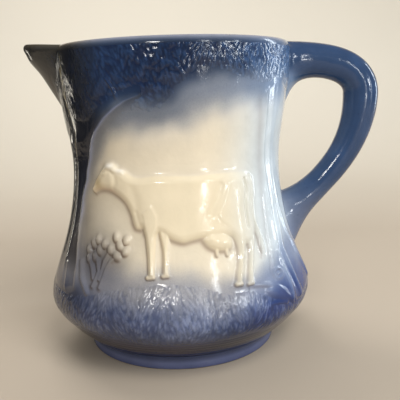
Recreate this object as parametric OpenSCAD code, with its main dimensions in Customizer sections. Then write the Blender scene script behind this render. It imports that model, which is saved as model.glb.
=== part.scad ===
// Stoneware milk pitcher with a cow in relief, in millimetres.
// The origin is the centre of the foot's underside. +Z is up, the spout points along -X,
// the handle along +X, and one cow faces -Y and its mirror image +Y.
// Angles round the wall are counted from -Y towards the handle.

/* [Wall] */
// Height of the rim above the table
jug_h = 180; // [160:1:220]
// Outer radius at the rim
rim_r = 69; // [64:0.5:76]
// Outer radius at the waist
waist_r = 62.7; // [56:0.1:66]
// Height of the waist
waist_z = 112; // [102:1:122]
// Outer radius at the belly
belly_r = 79.6; // [72:0.1:86]
// Height of the belly
belly_z = 34; // [30:1:42]
// Outer radius where the belly meets the foot
heel_r = 55; // [53.5:0.5:56.5]
// Thickness of the wall
wall_t = 5.5; // [4:0.1:6.5]

/* [Base] */
// Height of the foot ring
foot_h = 7; // [5:0.5:9]
// Outer radius of the foot ring
foot_r = 57.8; // [56:0.1:60]
// Width of the foot ring
foot_w = 9; // [8.5:0.5:12]
// Rounding of the foot ring's edges
foot_edge = 1.2; // [0.5:0.1:2]
// Thickness of the floor
floor_t = 5.2; // [4:0.1:6]
// Width of the wall's lower edge, where the floor is let in
heel_w = 4; // [3:0.5:5]

/* [Lip] */
// Height of the rounded lip
lip_h = 4; // [3.5:0.1:6]

/* [Spout] */
// Reach of the spout beyond the wall
spout_reach = 19.2; // [14:0.1:24]
// Height of the spout, from its root in the wall to the rim
spout_h = 38; // [32:1:46]
// Half the angle that the spout takes at the rim
spout_half_angle = 24; // [20:0.5:27]
// Rise of the spout's tip above the rim
spout_rise = 2.5; // [0:0.1:5]
// Thickness of the spout's wall
spout_t = 4.8; // [4:0.1:6]

/* [Handle] */
// Furthest reach of the handle from the jug's axis
handle_reach = 125; // [115:0.5:135]
// Radius of the grip where it is thickest
grip_r = 10.6; // [9:0.1:12]
// Radius of the grip where it is thinnest
grip_low_r = 9; // [7.5:0.1:10]
// Drop of the grip's centre below the rim at its upper root
handle_drop = 10.5; // [10:0.5:16]
// Rise of the grip's centre above the belly at its lower root
handle_low_rise = 41; // [36:0.5:46]
// Spread of the upper root against the wall
root_top_r = 11.2; // [10.6:0.1:12.5]
// Spread of the lower root against the wall
root_low_r = 15.5; // [11:0.1:17]

/* [Cow] */
// Length of the cow from muzzle to tail, as a share of the way from spout to handle round the waist
cow_l_share = 0.4875; // [0.44:0.0025:0.51]
// Height of the cow from hoof to poll
cow_h = 60; // [52:1:64]
// Height of the ground that the cow stands on
ground_z = 56; // [52:1:60]
// Depth of the cow's relief
cow_relief = 3.6; // [2:0.1:5]

/* [Trees, flowers and grass] */
// Depth of the leaf canopy's relief
leaf_relief = 1.3; // [0.8:0.1:2]
// Depth of the leaf tips along the canopy's lower edge
leaf_tip = 2.6; // [1:0.1:4]
// Depth of the grass bank's relief
grass_relief = 1.2; // [0.8:0.1:2]
// Height at which the grass bank starts
grass_low_z = 19; // [17:1:24]
// Depth of the trees' relief
tree_relief = 2.2; // [1:0.1:3.5]
// Half the width of the trunk beside the spout, as a share of half the way round one side
spout_trunk_share = 0.112; // [0.08:0.002:0.122]
// Half the width of the trunk beside the handle, as a share of half the way round one side
handle_trunk_share = 0.112; // [0.08:0.002:0.122]
// Width of a flower head
flower_w = 13; // [9:0.1:15]
// Depth of the flowers' relief
flower_relief = 2; // [1:0.1:3]

/* [Hidden] */
// Clearance between a sprigged relief and the wall
seat = 0.05;
// Clearance between a relief band, whose faces are flat, and the wall
band_seat = 0.15;
// Clearance between two pieces of relief
relief_gap = 0.3;
// Overrun of the cuts
over = 1;
base_r = heel_r - heel_w;
lip_z = jug_h - lip_h;
spout_z = jug_h - spout_h;
handle_top_z = jug_h - handle_drop;
handle_low_z = belly_z + handle_low_rise;
// Angle from the middle of a cow's side to the spout and to the handle
side_angle = 90;
// Steps of each stretch of the wall's outline, and of the round cuts
wall_steps = 12;
round_steps = 96;
step_shares = [for (i = [0 : wall_steps]) i / wall_steps];

// Outline of the wall: three curves that meet upright at the belly and the waist
heel_pull_shares = [0.28, 0.04];
belly_pull_share = 0.35;
belly_top_share = 0.15;
waist_low_share = 0.52;
waist_top_share = 0.28;
rim_pull_share = 0.5;
heel_curve = [[heel_r, foot_h],
              [heel_r + (belly_r - heel_r) * heel_pull_shares[0],
               foot_h + (belly_z - foot_h) * heel_pull_shares[1]],
              [belly_r, belly_z - (belly_z - foot_h) * belly_pull_share],
              [belly_r, belly_z]];
belly_curve = [[belly_r, belly_z],
               [belly_r, belly_z + (waist_z - belly_z) * belly_top_share],
               [waist_r, waist_z - (waist_z - belly_z) * waist_low_share],
               [waist_r, waist_z]];
rim_curve = [[waist_r, waist_z],
             [waist_r, waist_z + (jug_h - waist_z) * waist_top_share],
             [rim_r, jug_h - (jug_h - waist_z) * rim_pull_share],
             [rim_r, jug_h]];

// Point and direction of a cubic curve at the share s of its run
function curve_at(c, s) =
    pow(1 - s, 3) * c[0] + 3 * pow(1 - s, 2) * s * c[1] + 3 * (1 - s) * s * s * c[2] + pow(s, 3) * c[3];
function curve_way(c, s) =
    pow(1 - s, 2) * (c[1] - c[0]) + 2 * (1 - s) * s * (c[2] - c[1]) + s * s * (c[3] - c[2]);
// The same curve moved square to itself, inwards by t
function curve_in(c, s, t) =
    let (w = curve_way(c, s)) curve_at(c, s) + t * [-w[1], w[0]] / norm(w);
function curve_run(c, t) = [for (s = step_shares) curve_in(c, s, t)];
function tail(list) = [for (i = [1 : len(list) - 1]) list[i]];
function outline(t) =
    concat(curve_run(heel_curve, t), tail(curve_run(belly_curve, t)), tail(curve_run(rim_curve, t)));

wall_pts = outline(0);
wall_table = [for (p = wall_pts) [p[1], p[0]]];
inner_table = [for (p = outline(wall_t)) [p[1], p[0]]];
// Outer and inner radius of the wall at the height z
function wall_r(z) = lookup(z, wall_table);
function inner_r(z) = lookup(z, inner_table);
// Point that stands out of the wall by d, at the angle a and the height z
function on_wall(a, z, d) = [(wall_r(z) + d) * sin(a), -(wall_r(z) + d) * cos(a), z];
function mix(a, b, s) = a + (b - a) * s;

// Closed shell between two grids of points, each a list of rows of equal length
module grid_shell(front, back) {
    rows = len(front);
    cols = len(front[0]);
    count = rows * cols;
    quads = concat(
        [for (i = [0 : rows - 2], j = [0 : cols - 2])
            [i * cols + j, (i + 1) * cols + j, (i + 1) * cols + j + 1, i * cols + j + 1]],
        [for (i = [0 : rows - 2], j = [0 : cols - 2])
            count * [1, 1, 1, 1] + [i * cols + j, i * cols + j + 1, (i + 1) * cols + j + 1, (i + 1) * cols + j]],
        [for (j = [0 : cols - 2], i = [0])
            [j, j + 1, count + j + 1, count + j]],
        [for (j = [0 : cols - 2], i = [(rows - 1) * cols])
            [i + j + 1, i + j, count + i + j, count + i + j + 1]],
        [for (i = [0 : rows - 2], j = [0])
            [(i + 1) * cols, i * cols, count + i * cols, count + (i + 1) * cols]],
        [for (i = [0 : rows - 2], j = [cols - 1])
            [i * cols + j, (i + 1) * cols + j, count + (i + 1) * cols + j, count + i * cols + j]]);
    polyhedron(points = concat([for (r = front) each r], [for (r = back) each r]),
               faces = [for (q = quads) each [[q[0], q[1], q[2]], [q[0], q[2], q[3]]]]);
}

// Spout: its half angle and its reach at the share v of its height
spout_open_power = 0.75;
spout_reach_power = 1.25;
// Roundness of the beak's ridge, hollow of its sides, and bevel of its top edge
beak_round_share = 0.25;
beak_hollow_power = 1.2;
beak_bevel = 1.2;
// Share of the spout's height at which its channel starts
channel_share = 0.4;
spout_rows = 10;
spout_cols = 8;
spout_joint_angle = spout_t / wall_r(jug_h) * 180 / PI;
function spout_angle(v) = spout_half_angle * pow(v, spout_open_power);
function spout_out(v) = spout_reach * pow(v, spout_reach_power);
// Share of the reach that is left at the share u of the half angle
function beak_share(u) =
    pow(1 - (sqrt(u * u + beak_round_share * beak_round_share) - beak_round_share)
            / (sqrt(1 + beak_round_share * beak_round_share) - beak_round_share), beak_hollow_power);
// Point of the spout: share u of the half angle, share v of the height, thickness t taken off
function spout_pt(u, v, t, bevel) =
    let (joint = t / spout_t * spout_joint_angle,
         z = mix(spout_z, jug_h + spout_rise * beak_share(u), v),
         out = (spout_out(v) - t + bevel) * beak_share(u))
    on_wall(-side_angle + u * (spout_angle(v) - joint), min(z, jug_h), out + band_seat) + [0, 0, z - min(z, jug_h)];
function spout_grid(v0, t, bevel) =
    [for (i = [0 : spout_rows + 1])
        [for (j = [-spout_cols : spout_cols])
            spout_pt(j / spout_cols, mix(v0, 1, min(i, spout_rows) / spout_rows), t,
                     i > spout_rows ? bevel : 0)
            - [0, 0, i == spout_rows ? beak_bevel : 0]]];
spout_foot_share = 0.04;

// Width of the spout's channel in the wall, at the share v of the spout's height
function channel_w(v) =
    let (z = mix(spout_z, jug_h, v)) wall_r(z) * sin(spout_angle(v) - spout_joint_angle);
channel_shares = [for (i = [0 : spout_rows]) mix(channel_share, 1, i / spout_rows)];
channel_side = [for (v = channel_shares) [channel_w(v), mix(spout_z, jug_h, v)]];
channel_top = [channel_w(1), jug_h + over];
channel_outline = concat([for (p = channel_side) p], [channel_top], [[-channel_top[0], channel_top[1]]],
                         [for (i = [spout_rows : -1 : 0]) [-channel_side[i][0], channel_side[i][1]]]);

// Handle: centre line in two curves, and the grip's radius along it
handle_steps = 10;
bend_z_share = 0.78;
bend_z = mix(handle_low_z, handle_top_z, bend_z_share);
bend_x = handle_reach - grip_r;
top_pull_shares = [0.85, 0.45];
low_pull_shares = [0.42, 0.5];
root_depth = wall_t;
top_root = [wall_r(handle_top_z) - root_depth, handle_top_z];
low_root = [wall_r(handle_low_z) - root_depth, handle_low_z];
handle_rise_share = 0.015;
top_arm = [top_root,
           [mix(top_root[0], bend_x, top_pull_shares[0]), handle_top_z + jug_h * handle_rise_share],
           [bend_x, mix(bend_z, handle_top_z, top_pull_shares[1])],
           [bend_x, bend_z]];
low_arm = [[bend_x, bend_z],
           [bend_x, mix(bend_z, handle_low_z, low_pull_shares[0])],
           [mix(low_root[0], bend_x, low_pull_shares[1]), mix(handle_low_z, bend_z, low_pull_shares[0] / 2)],
           low_root];
// Share of each arm over which its root spreads
top_spread_share = 0.3;
low_spread_share = 0.4;
grip_top_r = mix(grip_low_r, grip_r, low_pull_shares[1]);
function spread(s, from) = pow(max(0, (s - 1 + from) / from), 2);
function top_r(s) = mix(grip_top_r, grip_r, s) + (root_top_r - grip_top_r) * spread(1 - s, top_spread_share);
function low_r(s) = mix(grip_r, grip_low_r, s) + (root_low_r - grip_low_r) * spread(s, low_spread_share);
handle_line = concat(
    [for (i = [0 : handle_steps]) let (s = i / handle_steps)
        concat(curve_at(top_arm, s), curve_way(top_arm, s), top_r(s))],
    [for (i = [1 : handle_steps]) let (s = i / handle_steps)
        concat(curve_at(low_arm, s), curve_way(low_arm, s), low_r(s))]);
// Depth of the grip across the hand, as a share of its width, and thickness of one slice
grip_depth_share = 0.94;
slice_t = 0.2;
grip_sides = 22;

// Relief bands, by angle round the wall: lower edge of the leaves as shares of the jug's height,
// and upper edge of the grass as shares of the ground's height
canopy_low_shares = [[-88, 0.70], [-70, 0.72], [-52, 0.755], [-40, 0.77], [-28, 0.785], [-12, 0.78],
                     [-4, 0.81], [3, 0.86], [10, 0.895], [20, 0.895], [34, 0.865], [50, 0.84], [72, 0.83]];
grass_top_shares = [[-88, 0.868], [-52, 0.852], [-38, 0.9], [-26, 0.98], [-14, 1.035], [-2, 1.045], [8, 0.98],
                    [20, 0.894], [32, 0.884], [40, 0.804], [50, 0.746], [72, 0.771], [90, 0.804]];
band_cols = 42;
canopy_rows = 5;
grass_rows = 8;
leaf_angle = 9;
spout_clear_angle = 2;
handle_clear_angle = 5;
function clear_angle(z) =
    z < spout_z ? spout_clear_angle : spout_angle(min(1, (z - spout_z) / (jug_h - spout_z))) + spout_clear_angle;
function handle_half(z) = atan((z > waist_z ? root_top_r : root_low_r) / wall_r(z)) + handle_clear_angle;
function leaf_edge(a) = jug_h * lookup(a, canopy_low_shares) + leaf_tip * abs(sin(a * 180 / leaf_angle));
function grass_edge(a) = ground_z * lookup(a, grass_top_shares);
// Point of a band between the heights low and high, from spout to handle by the share s
function band_pt(low, high, s, t, d) =
    let (z = mix(low, high, t))
    on_wall(mix(-side_angle + clear_angle(z), side_angle - handle_half(z), s), z, d);
function canopy_grid(d, more) =
    [for (i = [0 : canopy_rows]) [for (j = [0 : band_cols])
        let (s = j / band_cols, a = mix(-side_angle + spout_clear_angle, side_angle - handle_half(lip_z), s), low = leaf_edge(a) - more)
        band_pt(low, lip_z - band_seat, s, i / canopy_rows, d)]];
function grass_grid(d, more) =
    [for (i = [0 : grass_rows]) [for (j = [0 : band_cols])
        let (s = j / band_cols, a = mix(-side_angle + spout_clear_angle, side_angle - spout_clear_angle, s),
             z = mix(grass_low_z, grass_edge(a) + more, i / grass_rows))
        on_wall(a, z, d)]];

// A relief figure is a list of limbs. A limb is a list of stations, and a station is
// [share along, share up, share of the radius, share of the relief's depth].
limb_sides = 16;
fine_sides = 8;
// Radius under which a station is made with fewer sides, as a share of the cow's height
fine_share = 0.05;
// Angle of a place that lies the length l along the wall
function along(l) = l / waist_r * 180 / PI;

module pebble(a, z, r, d) {
    translate(on_wall(a, z, 0)) rotate([0, 0, a]) scale([r, max(d, r / 8), r]) sphere(1, $fn = r < cow_h * fine_share ? fine_sides : limb_sides);
}
module limb(stations, l, h, r, d, a, z) {
    for (i = [0 : len(stations) - 2]) hull() for (s = [stations[i], stations[i + 1]])
        pebble(a + along(s[0] * l), z + s[1] * h, s[2] * r, s[3] * d);
}
module wall_solid(more) {
    rotate_extrude($fn = round_steps)
        polygon(concat([[0, foot_h]], [for (p = wall_pts) [p[0] + more, p[1]]], [[0, jug_h]]));
}
module relief(limbs, l, h, r, d, a, z) {
    difference() {
        for (stations = limbs) limb(stations, l, h, r, d, a, z);
        wall_solid(seat);
        children();
    }
}

// Length of half of one side, from its middle to the spout or to the handle
quarter_l = waist_r * PI / 2;
cow_l = 2 * quarter_l * cow_l_share;

// Cow, from muzzle to tail and from hoof to poll
cow_angle = -47;
cow_shares = [
    // Barrel
    [[0.40, 0.66, 0.205, 0.85], [0.52, 0.605, 0.29, 1], [0.66, 0.63, 0.27, 1], [0.80, 0.69, 0.20, 0.95],
     [0.895, 0.745, 0.145, 0.75]],
    // Line of the back
    [[0.30, 0.825, 0.095, 0.7], [0.47, 0.82, 0.09, 0.8], [0.72, 0.81, 0.09, 0.8], [0.925, 0.815, 0.09, 0.6]],
    // Neck and brisket
    [[0.37, 0.66, 0.205, 0.9], [0.28, 0.75, 0.155, 0.8], [0.20, 0.85, 0.115, 0.8]],
    [[0.245, 0.78, 0.11, 0.7], [0.32, 0.56, 0.105, 0.7], [0.325, 0.475, 0.06, 0.6]],
    // Head, from poll to muzzle, and jaw
    [[0.165, 0.92, 0.10, 0.85], [0.10, 0.87, 0.085, 0.8], [0.03, 0.795, 0.055, 0.65]],
    [[0.175, 0.86, 0.10, 0.75], [0.10, 0.805, 0.06, 0.7], [0.035, 0.78, 0.045, 0.6]],
    // Horn and ear
    [[0.145, 0.97, 0.04, 0.7], [0.125, 1.02, 0.022, 0.5]],
    [[0.195, 0.955, 0.04, 0.7], [0.225, 1.0, 0.025, 0.5]],
    // Near foreleg and far foreleg
    [[0.385, 0.56, 0.12, 0.9], [0.385, 0.40, 0.062, 0.75], [0.388, 0.26, 0.05, 0.65], [0.393, 0.11, 0.037, 0.6],
     [0.388, 0.06, 0.045, 0.6]],
    [[0.455, 0.44, 0.07, 0.6], [0.46, 0.24, 0.038, 0.5], [0.465, 0.12, 0.032, 0.5], [0.458, 0.065, 0.042, 0.5]],
    // Udder
    [[0.71, 0.36, 0.12, 0.85], [0.76, 0.345, 0.115, 0.8]],
    [[0.70, 0.30, 0.025, 0.6], [0.70, 0.205, 0.016, 0.35]],
    [[0.745, 0.29, 0.025, 0.6], [0.75, 0.20, 0.016, 0.35]],
    // Thigh and near hind leg, then far hind leg
    [[0.85, 0.69, 0.19, 0.95], [0.83, 0.48, 0.125, 0.85], [0.865, 0.30, 0.058, 0.7], [0.86, 0.22, 0.043, 0.65],
     [0.835, 0.04, 0.037, 0.6], [0.825, -0.03, 0.045, 0.6]],
    [[0.89, 0.62, 0.12, 0.75], [0.90, 0.42, 0.075, 0.65], [0.91, 0.26, 0.043, 0.5], [0.89, 0.08, 0.034, 0.5],
     [0.875, -0.03, 0.042, 0.5]],
    // Tail
    [[0.95, 0.85, 0.028, 0.6], [0.97, 0.70, 0.022, 0.5], [0.97, 0.54, 0.022, 0.5], [0.967, 0.40, 0.03, 0.5],
     [0.985, 0.25, 0.042, 0.5], [0.99, 0.12, 0.02, 0.4]]];

// Flowers: two heads of petals on stems, in widths of one head
flower_angle = -35;
flower_z = ground_z + flower_w;
petal_count = 6;
petal_reach_share = 0.3;
petal_share = 0.17;
head_shares = [[0.57, 0.18], [-0.52, 0.12]];
stem_shares = [
    [[0.4, -0.15, 0.07, 0.7], [0, -0.75, 0.08, 0.8], [-0.25, -1.4, 0.09, 0.8]],
    [[-0.5, -0.2, 0.07, 0.7], [-0.3, -0.75, 0.08, 0.8], [-0.25, -1.1, 0.09, 0.8]],
    [[-0.75, -0.75, 0.12, 0.7], [-0.32, -0.72, 0.06, 0.6]],
    [[0.05, -0.55, 0.12, 0.7], [0.45, -0.6, 0.05, 0.5]],
    [[-0.03, -0.83, 0.08, 0.7], [0.5, -1.1, 0.06, 0.5]]];
petal_shares = [for (head = head_shares, i = [0 : petal_count - 1]) let (turn = i * 360 / petal_count + 20)
    [[head[0] + petal_reach_share * cos(turn), head[1] + petal_reach_share * sin(turn), petal_share, 1],
     [head[0] + petal_reach_share * cos(turn) / 2, head[1] + petal_reach_share * sin(turn) / 2,
      petal_share * 0.7, 0.8]]];

// Trees: places in shares of half of one side and of the jug's height, radii in half trunks
spout_trunk_w = quarter_l * spout_trunk_share;
handle_trunk_w = quarter_l * handle_trunk_share;
spout_tree_shares = [
    // Trunk, from the roots to the fork
    [[-0.68, 0.25, 1.35, 0.8], [-0.70, 0.34, 1.15, 1], [-0.72, 0.45, 1, 1], [-0.71, 0.58, 1, 1],
     [-0.65, 0.68, 0.9, 1]],
    // Bough over the cow, and bough beside the spout
    [[-0.60, 0.69, 0.65, 1], [-0.49, 0.76, 0.42, 0.9], [-0.37, 0.82, 0.3, 0.8]],
    [[-0.72, 0.67, 0.6, 1], [-0.80, 0.76, 0.36, 0.9], [-0.79, 0.83, 0.28, 0.9]],
    // Roots
    [[-0.60, 0.31, 0.4, 0.9], [-0.52, 0.27, 0.28, 0.8]],
    [[-0.80, 0.31, 0.4, 0.9], [-0.89, 0.27, 0.28, 0.8]]];
handle_tree_shares = [
    // Trunk
    [[0.57, 0.24, 1.3, 0.8], [0.60, 0.34, 1.12, 1], [0.63, 0.46, 1.02, 1], [0.64, 0.60, 0.98, 1],
     [0.635, 0.74, 0.98, 1], [0.62, 0.86, 1, 0.8]],
    // Roots, and the knot on the trunk's foot
    [[0.50, 0.35, 0.3, 1], [0.46, 0.30, 0.26, 1], [0.38, 0.265, 0.2, 0.8]],
    [[0.72, 0.34, 0.32, 1], [0.80, 0.28, 0.28, 1], [0.86, 0.25, 0.2, 0.8]],
    [[0.49, 0.30, 0.32, 1.3], [0.51, 0.305, 0.32, 1.3]]];

// Colours of the glazes
cobalt = [0.14, 0.22, 0.42];
slate = [0.32, 0.34, 0.47];
cream = [0.88, 0.83, 0.73];
haze = [0.60, 0.64, 0.74];

module channel_cut() {
    translate([-rim_r - spout_reach, 0, 0]) rotate([90, 0, 90])
        linear_extrude(height = rim_r + spout_reach) polygon(channel_outline);
}
module body_wall() {
    color(haze) difference() {
        rotate_extrude($fn = round_steps) polygon(concat(
            [for (p = wall_pts) if (p[1] < lip_z) p], [[wall_r(lip_z), lip_z], [inner_r(lip_z), lip_z]],
            [for (i = [len(inner_table) - 1 : -1 : 0])
                if (inner_table[i][0] < lip_z && inner_table[i][0] > foot_h + floor_t)
                [inner_table[i][1], inner_table[i][0]]],
            [[base_r, foot_h + floor_t], [base_r, foot_h]]));
        channel_cut();
    }
}
module base_floor() {
    color(cream) translate([0, 0, foot_h]) cylinder(r = base_r, h = floor_t, $fn = round_steps);
}
module foot_ring() {
    edge = [[foot_r - foot_edge, foot_edge, -90], [foot_r - foot_edge, foot_h - foot_edge, 0]];
    color(slate) rotate_extrude($fn = round_steps) polygon(concat(
        [[foot_r - foot_w, 0]],
        [for (e = edge, i = [0 : 4]) [e[0], e[1]] + foot_edge * [cos(e[2] + i * 22.5), sin(e[2] + i * 22.5)]],
        [[foot_r - foot_w, foot_h]]));
}
module lip() {
    outer = wall_r(lip_z);
    inner = inner_r(lip_z);
    half = (outer - inner) / 2;
    rise = jug_h - lip_z;
    color(cobalt) difference() {
        rotate_extrude($fn = round_steps) polygon(
            [for (i = [0 : wall_steps]) let (turn = i * 180 / wall_steps)
                [outer - half + half * cos(turn), lip_z + rise * sin(turn)]]);
        channel_cut();
    }
}
module spout() {
    color(cobalt) grid_shell(spout_grid(spout_foot_share, 0, -beak_bevel),
                             spout_grid(channel_share, spout_t, beak_bevel));
}
module handle_slice(p) {
    translate([p[0], 0, p[1]]) rotate([0, atan2(p[2], p[3]), 0]) scale([1, grip_depth_share, 1])
        cylinder(r = p[4], h = slice_t, center = true, $fn = grip_sides);
}
module handle() {
    color(cobalt) difference() {
        for (i = [0 : len(handle_line) - 2]) hull() {
            handle_slice(handle_line[i]);
            handle_slice(handle_line[i + 1]);
        }
        wall_solid(seat);
    }
}
module leaf_canopy_near() {
    color(cobalt) grid_shell(canopy_grid(band_seat + leaf_relief, 0), canopy_grid(band_seat, 0));
}
module leaf_canopy_far() {
    mirror([0, 1, 0]) leaf_canopy_near();
}
module grass_bank_near() {
    color(slate) grid_shell(grass_grid(band_seat + grass_relief, 0), grass_grid(band_seat, 0));
}
module grass_bank_far() {
    mirror([0, 1, 0]) grass_bank_near();
}
// What the figures stand clear of: the two bands, grown by the gap between pieces
module grown_grass() {
    grid_shell(grass_grid(tree_relief * 3, relief_gap), grass_grid(-over, relief_gap));
}
module grown_canopy() {
    grid_shell(canopy_grid(tree_relief * 3, relief_gap), canopy_grid(-over, relief_gap));
}
module cow_near() {
    color(cream) relief(cow_shares, cow_l, cow_h, cow_h, cow_relief, cow_angle, ground_z) grown_grass();
}
module cow_far() {
    mirror([0, 1, 0]) cow_near();
}
module flowers_near() {
    color(cream) relief(concat(petal_shares, stem_shares), flower_w, flower_w, flower_w, flower_relief,
                        flower_angle, flower_z) grown_grass();
}
module flowers_far() {
    mirror([0, 1, 0]) flowers_near();
}
module spout_tree_near() {
    color(slate) relief(spout_tree_shares, quarter_l, jug_h, spout_trunk_w, tree_relief, 0, 0) {
        grown_grass();
        grown_canopy();
    }
}
module spout_tree_far() {
    mirror([0, 1, 0]) spout_tree_near();
}
module handle_tree_near() {
    color(haze) relief(handle_tree_shares, quarter_l, jug_h, handle_trunk_w, tree_relief, 0, 0) {
        grown_grass();
        grown_canopy();
    }
}
module handle_tree_far() {
    mirror([0, 1, 0]) handle_tree_near();
}

body_wall();
base_floor();
foot_ring();
lip();
spout();
handle();
leaf_canopy_near();
leaf_canopy_far();
grass_bank_near();
grass_bank_far();
cow_near();
cow_far();
spout_tree_near();
spout_tree_far();
handle_tree_near();
handle_tree_far();
flowers_near();
flowers_far();
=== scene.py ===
"""Stoneware milk pitcher with a cow, trees, flowers and grass in low relief, cobalt over cream glaze.

Shapes are worked out in millimetres and go into the meshes in metres. Angles are in degrees round the
wall, from the middle of the near side (-Y) towards the handle (+X). Heights are above the table.
"""
import math

import bpy
import numpy as np
from mathutils import Matrix


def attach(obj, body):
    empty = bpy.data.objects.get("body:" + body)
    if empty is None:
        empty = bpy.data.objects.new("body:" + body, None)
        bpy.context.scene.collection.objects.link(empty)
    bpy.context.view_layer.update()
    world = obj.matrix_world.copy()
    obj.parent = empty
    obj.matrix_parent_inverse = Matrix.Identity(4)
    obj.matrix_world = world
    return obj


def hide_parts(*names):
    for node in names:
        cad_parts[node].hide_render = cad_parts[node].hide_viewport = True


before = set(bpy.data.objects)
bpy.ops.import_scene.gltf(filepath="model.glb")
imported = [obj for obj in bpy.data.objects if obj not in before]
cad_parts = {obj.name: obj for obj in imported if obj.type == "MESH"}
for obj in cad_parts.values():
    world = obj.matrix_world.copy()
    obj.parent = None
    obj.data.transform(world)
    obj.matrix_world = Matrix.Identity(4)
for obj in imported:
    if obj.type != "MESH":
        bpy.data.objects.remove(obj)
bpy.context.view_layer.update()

MM = 0.001
BODY = "root"
SHARP_ANGLE = 48.0
WELDS_PER_MM = 2000.0
AXIS_R = 0.001

# Wall, lip and base, in millimetres
JUG_H = 180.0
RIM_R = 69.0
WAIST_R = 62.7
WAIST_Z = 112.0
BELLY_R = 79.6
BELLY_Z = 34.0
HEEL_R = 55.0
WALL_T = 5.5
FOOT_H = 7.0
FOOT_R = 57.8
FOOT_IN_R = 48.8
FLOOR_Z = 12.3
HEEL_IN_R = 51.0
LIP_H = 4.0
LIP_Z = JUG_H - LIP_H

# Spout
SPOUT_REACH = 19.2
SPOUT_IN_REACH = 20.0
SPOUT_H = 38.0
SPOUT_Z = JUG_H - SPOUT_H
SPOUT_HALF = 24.0
SPOUT_RISE = 2.5
BEAK_ROUND = 0.25
BEAK_POWER = 1.08

# Handle
HANDLE_REACH = 125.0
GRIP_R = 10.6
GRIP_LOW_R = 9.0
HANDLE_TOP_Z = 169.5
HANDLE_LOW_Z = 75.0
ROOT_TOP_R = 11.2
ROOT_LOW_R = 15.5
ROOT_SINK = 3.0

# Relief
ARC_R = 66.0
FILLET = 0.8
HAIR = 0.04
DIP = 0.06
SHELL_T = 0.7
SIDE = 90.0

rng = np.random.default_rng(7)


# Numbers

def ramp(x, low, high):
    """0 below low, 1 above high, and the smooth cubic 3t^2 - 2t^3 between."""
    t = np.clip((x - low) / (high - low), 0.0, 1.0)
    return t * t * (3.0 - 2.0 * t)


def mix(a, b, t):
    """The straight mix of a and b at the share t."""
    return a + (b - a) * t


def smooth_max(a, b, soft):
    """The larger of a and b with a fillet: their mean plus half the root of their squared difference."""
    return 0.5 * (a + b + np.sqrt((a - b) ** 2 + soft * soft))


def table(x, pairs):
    """The value at x, straight between the pairs of a table."""
    xs, ys = np.array(pairs, float).T
    return np.interp(x, xs, ys)


def swell(x, y, seed, size):
    """Slow waves of about -1 to 1: the mean of six sine waves of that size in seeded directions."""
    waves = np.random.default_rng(seed)
    total = 0.0
    for _ in range(6):
        turn = waves.uniform(0.0, 2.0 * math.pi)
        pace = 2.0 * math.pi / (size * waves.uniform(0.6, 1.5))
        total = total + np.sin(pace * (x * math.cos(turn) + y * math.sin(turn)) + waves.uniform(0.0, 6.3))
    return total / 3.0


def bell(x, wide):
    """Bell curve: 1 at 0, and down to 0.37 where x is wide."""
    return np.exp(-(x / wide) ** 2)


# Wall

def cubic(corners, steps=90):
    """Points and directions of a cubic curve: its four corners weighted by the cubic shares."""
    s = np.linspace(0.0, 1.0, steps)[:, None]
    a, b, c, d = np.array(corners, float)
    place = (1 - s) ** 3 * a + 3 * (1 - s) ** 2 * s * b + 3 * (1 - s) * s * s * c + s ** 3 * d
    way = (1 - s) ** 2 * (b - a) + 2 * (1 - s) * s * (c - b) + s * s * (d - c)
    return place, way / np.linalg.norm(way, axis=1, keepdims=True)


HEEL_CURVE = [(HEEL_R, FOOT_H),
              (mix(HEEL_R, BELLY_R, 0.28), mix(FOOT_H, BELLY_Z, 0.04)),
              (BELLY_R, mix(BELLY_Z, FOOT_H, 0.35)),
              (BELLY_R, BELLY_Z)]
BELLY_CURVE = [(BELLY_R, BELLY_Z),
               (BELLY_R, mix(BELLY_Z, WAIST_Z, 0.15)),
               (WAIST_R, mix(WAIST_Z, BELLY_Z, 0.52)),
               (WAIST_R, WAIST_Z)]
RIM_CURVE = [(WAIST_R, WAIST_Z),
             (WAIST_R, mix(WAIST_Z, JUG_H, 0.28)),
             (RIM_R, mix(JUG_H, WAIST_Z, 0.5)),
             (RIM_R, JUG_H)]
runs = [cubic(c) for c in (HEEL_CURVE, BELLY_CURVE, RIM_CURVE)]
OUTLINE = np.vstack([runs[0][0], runs[1][0][1:], runs[2][0][1:]])
WAY = np.vstack([runs[0][1], runs[1][1][1:], runs[2][1][1:]])
OUTWARD = np.column_stack([WAY[:, 1], -WAY[:, 0]])
INLINE = OUTLINE - WALL_T * OUTWARD
ALONG = np.concatenate([[0.0], np.cumsum(np.hypot(*np.diff(OUTLINE, axis=0).T))])


def wall_r(z):
    """Outer radius of the wall, read off its outline of three cubic curves."""
    return np.interp(z, OUTLINE[:, 1], OUTLINE[:, 0])


def inner_r(z):
    """Inner radius of the wall: the outline moved square to itself by the wall's thickness."""
    return np.interp(z, INLINE[:, 1], INLINE[:, 0])


def heights(low, high, step):
    """Heights between low and high that are equal steps apart along the wall's outline."""
    ends = np.interp([low, high], OUTLINE[:, 1], ALONG)
    count = int(math.ceil((ends[1] - ends[0]) / step)) + 1
    return np.interp(np.linspace(ends[0], ends[1], count), ALONG, OUTLINE[:, 1])


def ring(angle, r, z):
    """Points at the radius r and height z, turned by the angle from -Y towards +X."""
    a = np.radians(angle)
    return np.stack([r * np.sin(a), -r * np.cos(a), z + 0.0 * r], axis=-1)


def on_wall(angle, z, h):
    """Points that stand out of the wall by h, square to its outline."""
    out_r = np.interp(z, OUTLINE[:, 1], OUTWARD[:, 0])
    out_z = np.interp(z, OUTLINE[:, 1], OUTWARD[:, 1])
    return ring(angle, wall_r(z) + h * out_r, z + h * out_z)


# Spout

def spout_half(v):
    """Half angle of the beak at the share v of its height."""
    return SPOUT_HALF * v ** 0.75


def spout_v(z):
    """Share of the beak's height at the height z."""
    return np.clip((z - SPOUT_Z) / SPOUT_H, 0.0, None)


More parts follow.
